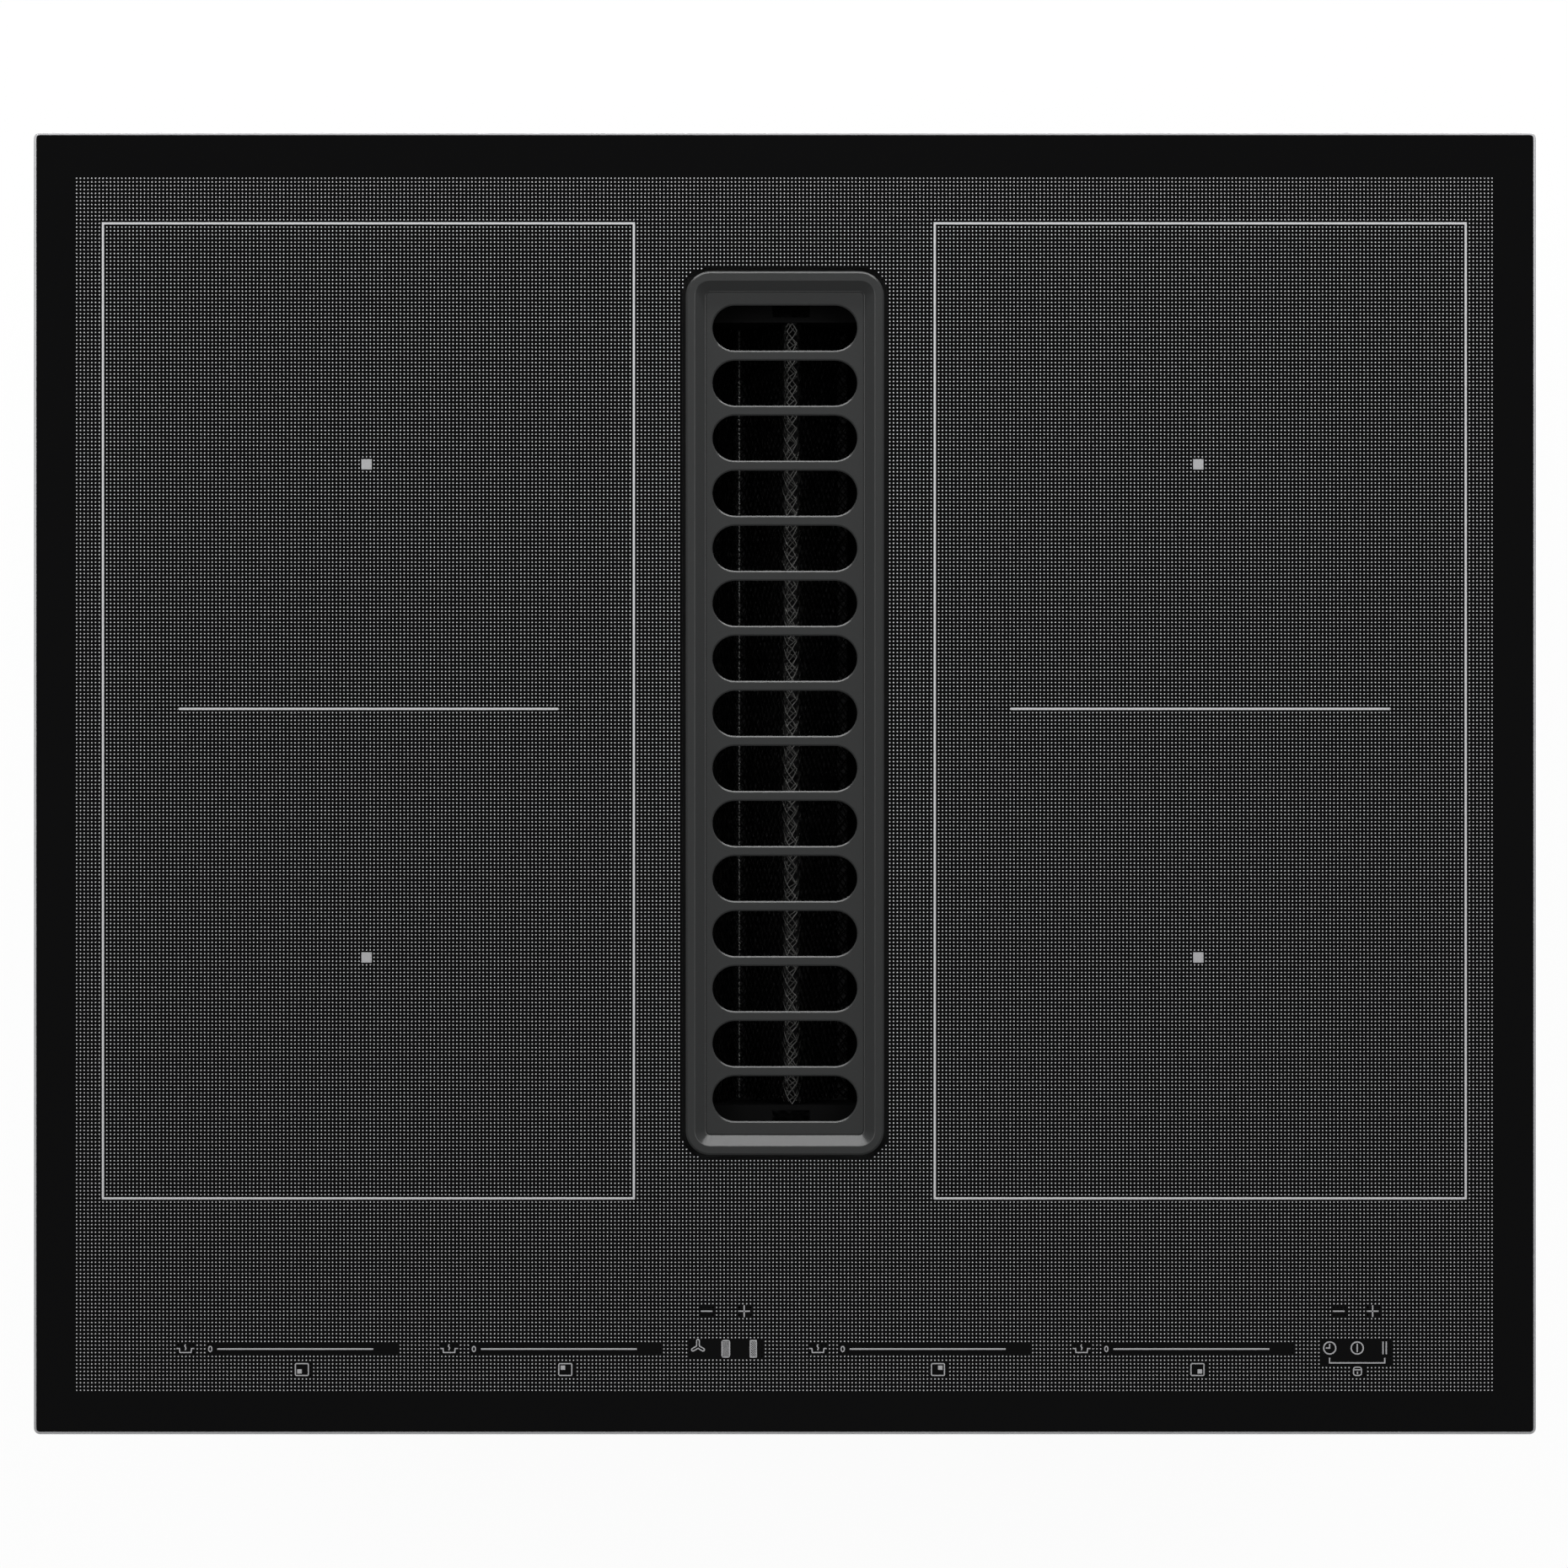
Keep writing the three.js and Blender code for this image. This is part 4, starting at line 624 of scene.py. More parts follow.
    def circuit_board(self) -> bpy.types.Material:
        """Makes green solder resist with copper tracks and tinned pads under it.

        Returns:
            The material.
        """
        material, nodes, shader, place = self.blank("circuit_board")
        inputs = {
            "Vector": place,
            "Scale": 95.0,
            "Mortar Size": 0.035,
            "Color1": (0.012, 0.085, 0.035, 1.0),
            "Color2": (0.016, 0.105, 0.045, 1.0),
            "Mortar": (0.035, 0.2, 0.085, 1.0),
        }
        tracks = nodes.add("ShaderNodeTexBrick", inputs)
        inputs = {"Vector": place, "Scale": 240.0, "Randomness": 0.75}
        pads = nodes.add("ShaderNodeTexVoronoi", inputs)
        pad = nodes.math("LESS_THAN", pads.outputs["Distance"], 0.16)
        inputs = {
            "Base Color": nodes.mix_colour(pad, tracks.outputs["Color"], (0.66, 0.66, 0.64, 1.0)),
            "Roughness": nodes.span(pad, 0.38, 0.24),
            "Metallic": pad,
        }
        nodes.feed(shader, inputs)
        self.bumped(nodes, shader, tracks.outputs["Fac"], 0.3, 0.0001)
        return material


# ---- Meshes ----------------------------------------------------------------------------


def linked(name: str, data: bpy.types.ID) -> bpy.types.Object:
    """Puts data into the scene as an object.

    Args:
        name: the object's name.
        data: its mesh, curve, lamp or camera.

    Returns:
        The object.
    """
    made = bpy.data.objects.new(name, data)
    bpy.context.scene.collection.objects.link(made)
    return made


def new_piece(
    name: str,
    mesh: bpy.types.Mesh,
    material: bpy.types.Material,
    slot: str,
    body: str = "root",
    stands_for: str | None = None,
) -> bpy.types.Object:
    """Puts a mesh into the scene as a piece of the object.

    Args:
        name: the piece's name.
        mesh: its mesh, in metres.
        material: its material.
        slot: the record's slot for its finish; it is not used.
        body: the CAD body that it moves with.
        stands_for: the CAD node that it replaces, if any.

    Returns:
        The piece.
    """
    mesh.name = name
    mesh.materials.clear()
    mesh.materials.append(material)
    piece = linked(name, mesh)
    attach(piece, body)
    if stands_for:
        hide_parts(stands_for)
    return piece


def baked(
    geometry: bpy.types.ID,
    material: bpy.types.Material | None = None,
    tree: bpy.types.NodeTree | None = None,
    values: Mapping[str, object] | None = None,
) -> bpy.types.Mesh:
    """Turns a mesh or curve, with a node tree on it if one is given, into a plain mesh.

    Args:
        geometry: the mesh or curve data.
        material: what the tree's Material input is set to.
        tree: a Geometry Nodes tree to run on it.
        values: what the tree's other inputs are set to, by name.

    Returns:
        The mesh.
    """
    holder = linked("holder", geometry)
    if tree:
        modifier = holder.modifiers.new("nodes", "NODES")
        modifier.node_group = tree
        sockets = {item.name: item.identifier for item in tree.interface.items_tree}
        for name, value in {**(values or {}), "Material": material}.items():
            modifier[sockets[name]] = value
    bpy.context.view_layer.update()
    graph = bpy.context.evaluated_depsgraph_get()
    mesh = bpy.data.meshes.new_from_object(holder.evaluated_get(graph), depsgraph=graph)
    holder.modifiers.clear()
    bpy.data.objects.remove(holder)
    return mesh


def plain_mesh(vertices: Sequence[Point3], faces: Sequence[Sequence[int]]) -> bpy.types.Mesh:
    """Makes a mesh from points in millimetres.

    Args:
        vertices: the points, in millimetres.
        faces: the corners of each face.

    Returns:
        The mesh, in metres.
    """
    mesh = bpy.data.meshes.new("mesh")
    mesh.from_pydata([tuple(c * MM for c in v) for v in vertices], [], faces)
    mesh.update()
    return mesh


def smoothed(mesh: bpy.types.Mesh, angle: float = 35.0) -> bpy.types.Mesh:
    """Shades a mesh smooth where its faces meet at a small angle.

    Args:
        mesh: the mesh.
        angle: the largest smooth angle, in degrees.

    Returns:
        The same mesh.
    """
    mesh.shade_smooth()
    mesh.set_sharp_from_angle(angle=math.radians(angle))
    return mesh


@dataclass(frozen=True)
class Outline:
    """A rounded rectangle whose corners have a few edges each."""

    centre: Point
    width: float
    length: float
    radius: float
    steps: int = 8

    def points(self, inset: float = 0.0) -> list[Point]:
        """Gives its corners, anticlockwise.

        Args:
            inset: how far inside the outline they lie.

        Returns:
            The points.
        """
        half_x, half_y = self.width / 2 - inset, self.length / 2 - inset
        radius = min(max(self.radius - inset, 0.05), half_x, half_y)
        points = []
        for quarter, (sx, sy) in enumerate(((1, 1), (-1, 1), (-1, -1), (1, -1))):
            cx = self.centre[0] + sx * (half_x - radius)
            cy = self.centre[1] + sy * (half_y - radius)
            for step in range(self.steps + 1):
                angle = math.radians(90 * (quarter + step / self.steps))
                points.append((cx + radius * math.cos(angle), cy + radius * math.sin(angle)))
        return points


# The grille's outline, which the print keeps clear of
GRILLE_OUTLINE = Outline((0.0, 28.0), 79.1, 352.8, 9.8)


def swept_ring(outline: Outline, profile: Sequence[Point]) -> bpy.types.Mesh:
    """Sweeps a closed profile round an outline.

    Args:
        outline: the rounded rectangle.
        profile: the section as (inset, height) points, closed on itself.

    Returns:
        The mesh.
    """
    vertices = [(x, y, height) for inset, height in profile for x, y in outline.points(inset)]
    size = len(outline.points())
    faces = []
    for i in range(len(profile)):
        low, high = i * size, ((i + 1) % len(profile)) * size
        for j in range(size):
            k = (j + 1) % size
            faces.append((low + j, low + k, high + k, high + j))
    return plain_mesh(vertices, faces)


def flat_plate(
    loops: Iterable[Sequence[Point]], thickness: float, rounding: float
) -> bpy.types.Curve:
    """Makes a filled curve with holes and rounded edges, standing round z = 0.

    Args:
        loops: the outline and its holes, in millimetres.
        thickness: the plate's whole thickness.
        rounding: the radius of its edges.

    Returns:
        The curve.
    """
    curve = bpy.data.curves.new("plate", "CURVE")
    curve.dimensions = "2D"
    curve.fill_mode = "BOTH"
    for loop in loops:
        spline = curve.splines.new("POLY")
        spline.points.add(len(loop) - 1)
        for point, (x, y) in zip(spline.points, loop):
            point.co = (x * MM, y * MM, 0.0, 1.0)
        spline.use_cyclic_u = True
    curve.extrude = (thickness / 2 - rounding) * MM
    curve.bevel_depth = rounding * MM
    curve.bevel_resolution = 0
    curve.offset = -rounding * MM
    return curve


def joined(parts: Iterable[bpy.types.Mesh]) -> bpy.types.Mesh:
    """Joins meshes into one.

    Args:
        parts: the meshes.

    Returns:
        The joined mesh.
    """
    vertices: list[Point3] = []
    faces: list[tuple[int, ...]] = []
    for mesh in parts:
        start = len(vertices)
        vertices += [tuple(v.co) for v in mesh.vertices]
        faces += [tuple(start + i for i in p.vertices) for p in mesh.polygons]
    whole = bpy.data.meshes.new("joined")
    whole.from_pydata(vertices, [], faces)
    whole.update()
    return whole


# ---- Flat print ------------------------------------------------------------------------


def polar(centre: Point, radius: float, angle: float, stretch: float = 1.0) -> Point:
    """Finds a point round a centre.

    Args:
        centre: the centre.
        radius: how far it is along X.
        angle: which way, in radians.
        stretch: its distance along Y divided by the one along X.

    Returns:
        The point.
    """
    return (
        centre[0] + radius * math.cos(angle),
        centre[1] + radius * stretch * math.sin(angle),
    )


@dataclass
class Artwork:
    """Flat print: strips, rings and rectangles at one height, gathered into one mesh."""

    height: float
    vertices: list[Point3] = field(default_factory=list)
    faces: list[tuple[int, ...]] = field(default_factory=list)

    def face(self, points: Sequence[Point]) -> None:
        """Adds one filled shape.

        Args:
            points: its corners, anticlockwise.
        """
        start = len(self.vertices)
        self.vertices += [(x, y, self.height) for x, y in points]
        self.faces.append(tuple(range(start, start + len(points))))

    def rectangle(self, middle: Point, size: Point) -> None:
        """Adds a filled rectangle.

        Args:
            middle: its middle.
            size: its width and height.
        """
        signs = ((-0.5, -0.5), (0.5, -0.5), (0.5, 0.5), (-0.5, 0.5))
        self.face([(middle[0] + sx * size[0], middle[1] + sy * size[1]) for sx, sy in signs])

    def line(self, points: Sequence[Point], width: float, closed: bool = False) -> None:
        """Adds a line of even width with mitred corners.

        Args:
            points: the points that it runs through.
            width: its width.
            closed: whether it runs back to its start.
        """
        count = len(points)
        sides: list[tuple[Point, Point]] = []
        for i, point in enumerate(points):
            before = points[i - 1] if closed or i else None
            after = points[(i + 1) % count] if closed or i < count - 1 else None
            x, y = mitre(before, point, after, width / 2)
            sides.append(((point[0] + x, point[1] + y), (point[0] - x, point[1] - y)))
        for i in range(count if closed else count - 1):
            a, b = sides[i], sides[(i + 1) % count]
            self.face([a[0], a[1], b[1], b[0]])

    def ring(self, centre: Point, radius: float, width: float, stretch: float = 1.0) -> None:
        """Adds a ring.

        Args:
            centre: its middle.
            radius: its radius along X.
            width: the line's width.
            stretch: its radius along Y divided by the one along X.
        """
        angles = [math.radians(angle) for angle in range(0, 360, 15)]
        self.line([polar(centre, radius, angle, stretch) for angle in angles], width, closed=True)

    def mesh(self) -> bpy.types.Mesh:
        """Gives all of it as one mesh.

        Returns:
            The mesh, in metres.
        """
        return plain_mesh(self.vertices, self.faces)


def mitre(before: Point | None, point: Point, after: Point | None, half: float) -> Point:
    """Finds the step from a line's middle to its edge at one of its points.

    Args:
        before: the point before it, or None at the start.
        point: the point.
        after: the point after it, or None at the end.
        half: half of the line's width.

    Returns:
        The step, which is longer where the line turns.
    """
    ways = []
    for start, end in ((before, point), (point, after)):
        if start and end:
            ways.append(Vector((end[0] - start[0], end[1] - start[1])).normalized())
    normals = [Vector((-way.y, way.x)) for way in ways]
    across = sum(normals, Vector((0.0, 0.0))).normalized()
    reach = half / max(across.dot(normals[0]), 0.3)
    return across.x * reach, across.y * reach


# ---- Glass, trim and print -------------------------------------------------------------


@dataclass
class SubAssembly:
    """Some of the object's pieces: their sizes in millimetres and the way they are made."""

    shop: MaterialShop

    def build(self) -> Pieces:
        """Makes the pieces.

        Returns:
            The pieces.
        """
        raise NotImplementedError


@dataclass
class EdgeTrim(SubAssembly):
    """The bright trim round the glass, with its section as (inset, height) points."""

    outline: Outline = Outline((0.0, 0.0), 600.0, 520.0, 2.5, steps=5)
    profile: Points = (
        (0.0, 204.1), (0.0, 209.2), (0.04, 209.27), (0.37, 209.6), (1.0, 209.6),
        (1.06, 209.5), (1.06, 205.45), (8.6, 205.45), (8.6, 204.1),
    )
    sharp: float = 12.0

    def build(self) -> Pieces:
        """Makes the trim.

        Returns:
            The piece.
        """
        trim = smoothed(swept_ring(self.outline, self.profile), self.sharp)
        metal = self.shop.get(TRIM)
        return [new_piece("edge_trim_moulding", trim, metal, "edge_trim", stands_for="edge_trim")]


@dataclass(frozen=True)
class Hatching:
    """Slanted lines in a rectangle: its size, their step upwards, their slope and width."""

    size: Point
    step: float
    slope: float
    width: float


@dataclass
class Print(SubAssembly):
    """All the print on the glass: cooking zones, controls and the field of dots."""

    height: float = GLASS_TOP + 0.03
    fine: float = 0.44
    bold: float = 0.5
    zone_line: float = 0.86
    slider_line: float = 0.62
    clear_line: float = 1.5
    bare_round_grille: float = 1.8

    zones: tuple[Points, ...] = (
        ((-272.35, -165.72), (-60.31, 223.7)), ((59.87, -165.72), (271.93, 223.7)),
    )
    dividers: Points = ((-242.0, -90.6), (90.2, 241.8))
    divider_y: float = 29.78
    squares: Points = ((-167.07, 127.45), (-167.07, -69.5), (165.13, 127.45), (165.13, -69.5))
    square: float = 4.1

    sliders: tuple[float, ...] = (-242.9, -137.6, 9.7, 115.0)
    slider_y: float = -225.9
    pan: Points = ((0.0, 0.2), (1.1, 0.2), (1.25, -1.4), (5.75, -1.4), (5.9, 0.2), (7.0, 0.2))
    steam: Points = ((3.55, 1.85), (3.2, 1.2), (3.7, 0.4), (3.4, -0.5))
    nought_x: float = 13.4
    nought_radius: float = 0.66
    nought_stretch: float = 1.55
    track: Points = ((16.2, 0.0), (78.5, 0.0))
    zone_icons: tuple[Point3, ...] = (
        (-192.9, -1, -1), (-87.7, -1, 1), (61.15, 1, 1), (164.8, 1, -1),
    )
    zone_icon: Outline = Outline((0.0, -234.1), 5.2, 4.7, 0.4, 3)
    icon_step: Point = (0.95, 0.75)
    icon_square: Point = (1.8, 1.7)

    fan_level_x: Point = (-31.25, -16.25)
    timer_x: Point = (221.2, 234.75)
    plus_minus_y: float = -210.8
    bar: Points = ((-2.35, 0.0), (2.35, 0.0))
    upright: Points = ((0.0, -2.35), (0.0, 2.35))
    fan: Point = (-34.7, -225.0)
    blade_reach: float = 2.35
    blade_half_width: float = 0.54
    grease: Outline = Outline((-23.6, -225.8), 3.0, 6.6, 0.75, 4)
    grease_hatch: Hatching = Hatching((2.6, 6.2), 0.72, 1.15, 0.24)
    carbon: Outline = Outline((-12.6, -225.8), 2.4, 6.6, 0.1, 1)
    carbon_line: float = 0.48
    carbon_hatch: Hatching = Hatching((2.1, 6.2), 0.92, -1.2, 0.3)
    clock: Point = (217.6, -225.5)
    power: Point = (228.6, -225.5)
    dial_radius: float = 2.42
    hands: Points = ((0.0, 1.65), (0.0, 0.0), (-1.5, 0.0))
    power_bar: Points = ((0.0, -1.7), (0.0, 1.75))
    pause: tuple[Points, ...] = (
        ((238.9, -228.0), (238.9, -222.9)), ((240.2, -228.0), (240.2, -222.9)),
    )
    bracket: Points = ((217.55, -229.4), (217.55, -231.45), (239.6, -231.45), (239.6, -229.4))
    lock: Outline = Outline((228.7, -234.8), 3.2, 3.3, 0.95, 4)
    shackle: Points = ((-1.5, 0.6), (1.5, 0.6))
    keyhole: Points = ((-0.18, -1.15), (0.18, -1.15), (0.32, -0.1), (-0.32, -0.1))

    dot_pitch: float = 1.5034
    dot_columns: int = 377
    dot_rows: int = 323
    dot_radius: float = 0.298
    dot_sides: int = 6
    dot_strips: int = 4
    first_dot: Point = (-282.83, 241.71)
    # Blocks of dots that the signs leave bare: first and last row, then columns
    bare_blocks: tuple[tuple[tuple[int, int], tuple[tuple[int, int], ...]], ...] = (
        ((310, 312), ((27, 31), (97, 101), (195, 199), (265, 269))),
        ((310, 312), ((35, 85), (105, 155), (203, 253), (273, 323))),
        ((315, 318), ((58, 62), (128, 132), (227, 231), (296, 300))),
        ((300, 302), ((166, 169), (176, 179), (334, 337), (343, 346))),
        ((309, 313), ((163, 182),)),
        ((309, 315), ((331, 349),)),
        ((316, 318), ((339, 342),)),
    )

    def __post_init__(self) -> None:
        """Starts the sheets of artwork: zones, signs and what the dots keep clear of."""
        self.zone_lines, self.signs = Artwork(self.height), Artwork(self.height)
        self.mask = Artwork(0.0)

    def build(self) -> Pieces:
        """Prints everything.

        Returns:
            The pieces.
        """
        ink, thin_ink = self.shop.get(PRINT), self.shop.get(THIN_PRINT)
        self._zones()
        self._sliders()
        self._fan_controls()
        self._timer_controls()
        return [
            new_piece("printed_zones", self.zone_lines.mesh(), ink, "glass_ceramic"),
            new_piece("printed_signs", self.signs.mesh(), thin_ink, "glass_ceramic"),
            *self._dots(ink),
        ]

    def _zones(self) -> None:
        """Prints the zone frames, their dividers and the middle squares, and masks them."""
        frames = [[low, (high[0], low[1]), high, (low[0], high[1])] for low, high in self.zones]
        dividers = [[(x, self.divider_y) for x in ends] for ends in self.dividers]
        for points in frames + dividers:
            closed = points in frames
            self.zone_lines.line(points, self.zone_line, closed)
            self.mask.line(points, self.clear_line, closed)
        for square in self.squares:
            self.signs.rectangle(square, (self.square, self.square))
            self.mask.rectangle(square, (self.square, self.square))

    def _strokes(self, at: Point, width: float, *lines: Sequence[Point]) -> None:
        """Prints open lines that are given round a point.

        Args:
            at: the point.
            width: the lines' width.
            lines: the points that each one runs through.
        """
        for line in lines:
            self.signs.line([(at[0] + x, at[1] + y) for x, y in line], width)

    def _sliders(self) -> None:
        """Prints each power slider (a steaming pan, a nought and a line) and its zone's sign."""
        for left in self.sliders:
            start, nought = (left, self.slider_y), (left + self.nought_x, self.slider_y)
            self._strokes(start, self.fine, self.pan, self.steam)
            self.signs.ring(nought, self.nought_radius, self.fine, self.nought_stretch)
            self._strokes(start, self.slider_line, self.track)
        y = self.zone_icon.centre[1]
        for x, right, up in self.zone_icons:
            frame = replace(self.zone_icon, centre=(x, y))
            self.signs.line(frame.points(), self.fine, closed=True)
            middle = (x + right * self.icon_step[0], y + up * self.icon_step[1])
            self.signs.rectangle(middle, self.icon_square)

    def _plus_minus(self, minus: float, plus: float) -> None:
        """Prints a minus and a plus sign.

        Args:
            minus: where the minus sign's middle is.
            plus: where the plus sign's middle is.
        """
        self._strokes((minus, self.plus_minus_y), self.bold, self.bar)
        self._strokes((plus, self.plus_minus_y), self.bold, self.bar, self.upright)

    def _hatch(self, centre: Point, hatching: Hatching) -> None:
        """Fills a rectangle with slanted lines.

        Args:
            centre: the rectangle's middle.
            hatching: its size and its lines.
        """
        slope, width = hatching.slope, hatching.width
        half, rise = hatching.size[1] / 2, abs(slope) * hatching.size[0] / 2
        count = math.ceil((half + rise) / hatching.step)
        for i in range(-count, count + 1):
            middle = i * hatching.step
            ends = (max(-half, middle - rise), min(half, middle + rise))
            if ends[1] - ends[0] > width / 2:
                self._strokes(centre, width, [((y - middle) / slope, y) for y in ends])

    def _fan_controls(self) -> None:
        """Prints the extraction's signs: level, fan and the two filters."""
        self._plus_minus(*self.fan_level_x)
        self.signs.line(self._fan_outline(self.fan), self.fine, closed=True)
        self.signs.line(self.grease.points(), self.bold, closed=True)
        self.signs.line(self.carbon.points(), self.carbon_line, closed=True)
        for slope in (self.grease_hatch.slope, -self.grease_hatch.slope):
            self._hatch(self.grease.centre, replace(self.grease_hatch, slope=slope))
        self._hatch(self.carbon.centre, self.carbon_hatch)

    def _fan_outline(self, hub: Point) -> list[Point]:
        """Gives the outline of the three-bladed fan's sign.

        Args:
            hub: the fan's middle.

        Returns:
            The outline's points.
        """
        half = self.blade_half_width
        corner = half / math.sin(math.radians(60))
        points = []
        for blade in (90, 210, 330):
            points.append(polar(hub, corner, math.radians(blade - 60)))
            way = math.radians(blade)
            tip = polar(hub, self.blade_reach, way)
            points += [polar(tip, half, way + math.pi * (step / 8 - 0.5)) for step in range(9)]
        return points

    def _timer_controls(self) -> None:
        """Prints the signs on the right: timer, power, pause and the lock under them."""
        self._plus_minus(*self.timer_x)
        for middle in (self.clock, self.power):
            self.signs.ring(middle, self.dial_radius, self.bold)
        self._strokes(self.clock, self.bold, self.hands)
        self._strokes(self.power, self.bold, self.power_bar)
        self._strokes((0.0, 0.0), self.bold, *self.pause, self.bracket)
        self.signs.line(self.lock.points(), self.fine, closed=True)
        middle = self.lock.centre
        self._strokes(middle, self.fine, self.shackle)
        self.signs.face([(middle[0] + x, middle[1] + y) for x, y in self.keyhole])

    def _dots(self, ink: bpy.types.Material) -> Iterable[bpy.types.Object]:
        """Prints the field of dots in strips, clear of lines, signs and grille.

        Args:
            ink: the material.

        Returns:
            The strips.
        """
        for rows, blocks in self.bare_blocks:
            for columns in blocks:
                x = self.first_dot[0] + sum(columns) / 2 * self.dot_pitch
                y = self.first_dot[1] - sum(rows) / 2 * self.dot_pitch
                size = tuple((last - first + 1) * self.dot_pitch for first, last in (columns, rows))
                self.mask.rectangle((x, y), size)
        self.mask.face(GRILLE_OUTLINE.points(-self.bare_round_grille))
        tree = dot_field_tree()
        width = (self.dot_columns - 1) * self.dot_pitch
        start = 0
        for strip in range(self.dot_strips):
            rows = (self.dot_rows - start) // (self.dot_strips - strip)
            x = self.first_dot[0] + width / 2
            y = self.first_dot[1] - (start + (rows - 1) / 2) * self.dot_pitch
            values = {
                "Columns": self.dot_columns,
                "Rows": rows,
                "Width": width * MM,
                "Length": (rows - 1) * self.dot_pitch * MM,
                "Middle": (x * MM, y * MM, self.height * MM),
                "Dot Radius": self.dot_radius * MM,
                "Dot Sides": self.dot_sides,
            }
            mesh = baked(self.mask.mesh(), ink, tree, values)
            yield new_piece(f"printed_dots_{strip + 1}", mesh, ink, "glass_ceramic")
            start += rows


def dot_field_tree() -> bpy.types.NodeTree:
    """Builds the Geometry Nodes that print a grid of discs wherever the mask isn't below.

    Returns:
        The tree.
    """
    sizes = [
        ("Columns", INTEGER, 2),
        ("Rows", INTEGER, 2),
        ("Width", FLOAT, 1.0),
        ("Length", FLOAT, 1.0),
        ("Middle", VECTOR, None),
        ("Dot Radius", FLOAT, 0.001),
        ("Dot Sides", INTEGER, 6),
    ]
    group = GeometryGroup("dot_field", sizes)
    given = group.given
    inputs = {
        "Size X": given["Width"],
        "Size Y": given["Length"],
        "Vertices X": given["Columns"],
        "Vertices Y": given["Rows"],
    }
    grid = group.moved(group.add("GeometryNodeMeshGrid", inputs), given["Middle"])
    down = {"Ray Direction": (0.0, 0.0, -1.0), "Ray Length": 1.0}
    look = group.add("GeometryNodeRaycast", {"Target Geometry": given["Given"], **down})
    inputs = {"Geometry": grid, "Selection": look.outputs["Is Hit"]}
    clear = group.add("GeometryNodeDeleteGeometry", inputs, domain="POINT")
    inputs = {"Vertices": given["Dot Sides"], "Radius": given["Dot Radius"]}
    disc = group.add("GeometryNodeMeshCircle", inputs, fill_type="NGON")
    return group.give(
        group.add("GeometryNodeInstanceOnPoints", {"Points": clear, "Instance": disc})
    )


# ---- Intake: grille and grease filter --------------------------------------------------


@dataclass
class IntakeGrille(SubAssembly):
    """The dished casting with its row of slots, made with rounded edges."""

    outline: Outline = replace(GRILLE_OUTLINE, steps=12)
    top: float = 211.6
    rim: float = 3.6
    slope: float = 4.2
    sink: float = 3.5
    floor: float = 2.5
    skirt: float = 2.2
    foot: float = 202.6
    edge: float = 0.72
    fold: float = 0.12
    sharp: float = 12.0
    slot_pitch: float = 22.0
    slot_count: int = 15
    slot_length: float = 57.9
    slot_width: float = 18.1
    slot_steps: int = 14
    slot_rounding: float = 0.55
    slot_edge_slope: float = 0.79

    def build(self) -> Pieces:
        """Makes the grille.

        Returns:
            The piece.
        """
        tray = joined([swept_ring(self.outline, self._profile()), self._floor()])
        tray, metal = smoothed(tray, self.sharp), self.shop.get(CAST)
        return [new_piece("grille_tray", tray, metal, "grille", body="grille", stands_for="grille")]

    def _profile(self) -> list[Point]:
        """Gives the section of the rim: skirt, rounded edge, flat, slope and floor's edge.

        Returns:
            Points as (inset, height).
        """
        edge, fold, top, skirt = self.edge, self.fold, self.top, self.skirt
        slope_end = self.rim + self.slope
        floor_top = top - self.sink
        floor_bottom = floor_top - self.floor
        return [
            (0.0, self.foot),
            (0.0, top - edge),
            (0.08, top - edge * 0.8),
            (edge * 1.1, top),
            (self.rim - fold, top),
            (self.rim + fold * 0.8, top - fold * 0.66),
            (slope_end - fold * 0.8, floor_top + fold * 0.66),
            (slope_end + fold, floor_top),
            (slope_end + fold, floor_bottom),
            (skirt + 1.2, floor_bottom),
            (skirt, floor_bottom - 0.6),
            (skirt, self.foot),
        ]

    def _floor(self) -> bpy.types.Mesh:
        """Makes the floor with its slots.

        Returns:
            The floor's mesh, in place.
        """
        loops = [self.outline.points(self.rim + self.slope)]
        for i in range(self.slot_count):
            y = self.outline.centre[1] + (i - (self.slot_count - 1) / 2) * self.slot_pitch
            width = self.slot_width
            slot = Outline((0.0, y), self.slot_length, width, width / 2, self.slot_steps)
            loops.append(slot.points())
        plate = baked(flat_plate(loops, self.floor / self.slot_edge_slope, self.slot_rounding))
        middle = self.top - self.sink - self.floor / 2
        for vertex in plate.vertices:
            vertex.co.z = vertex.co.z * self.slot_edge_slope + middle * MM
        return plate


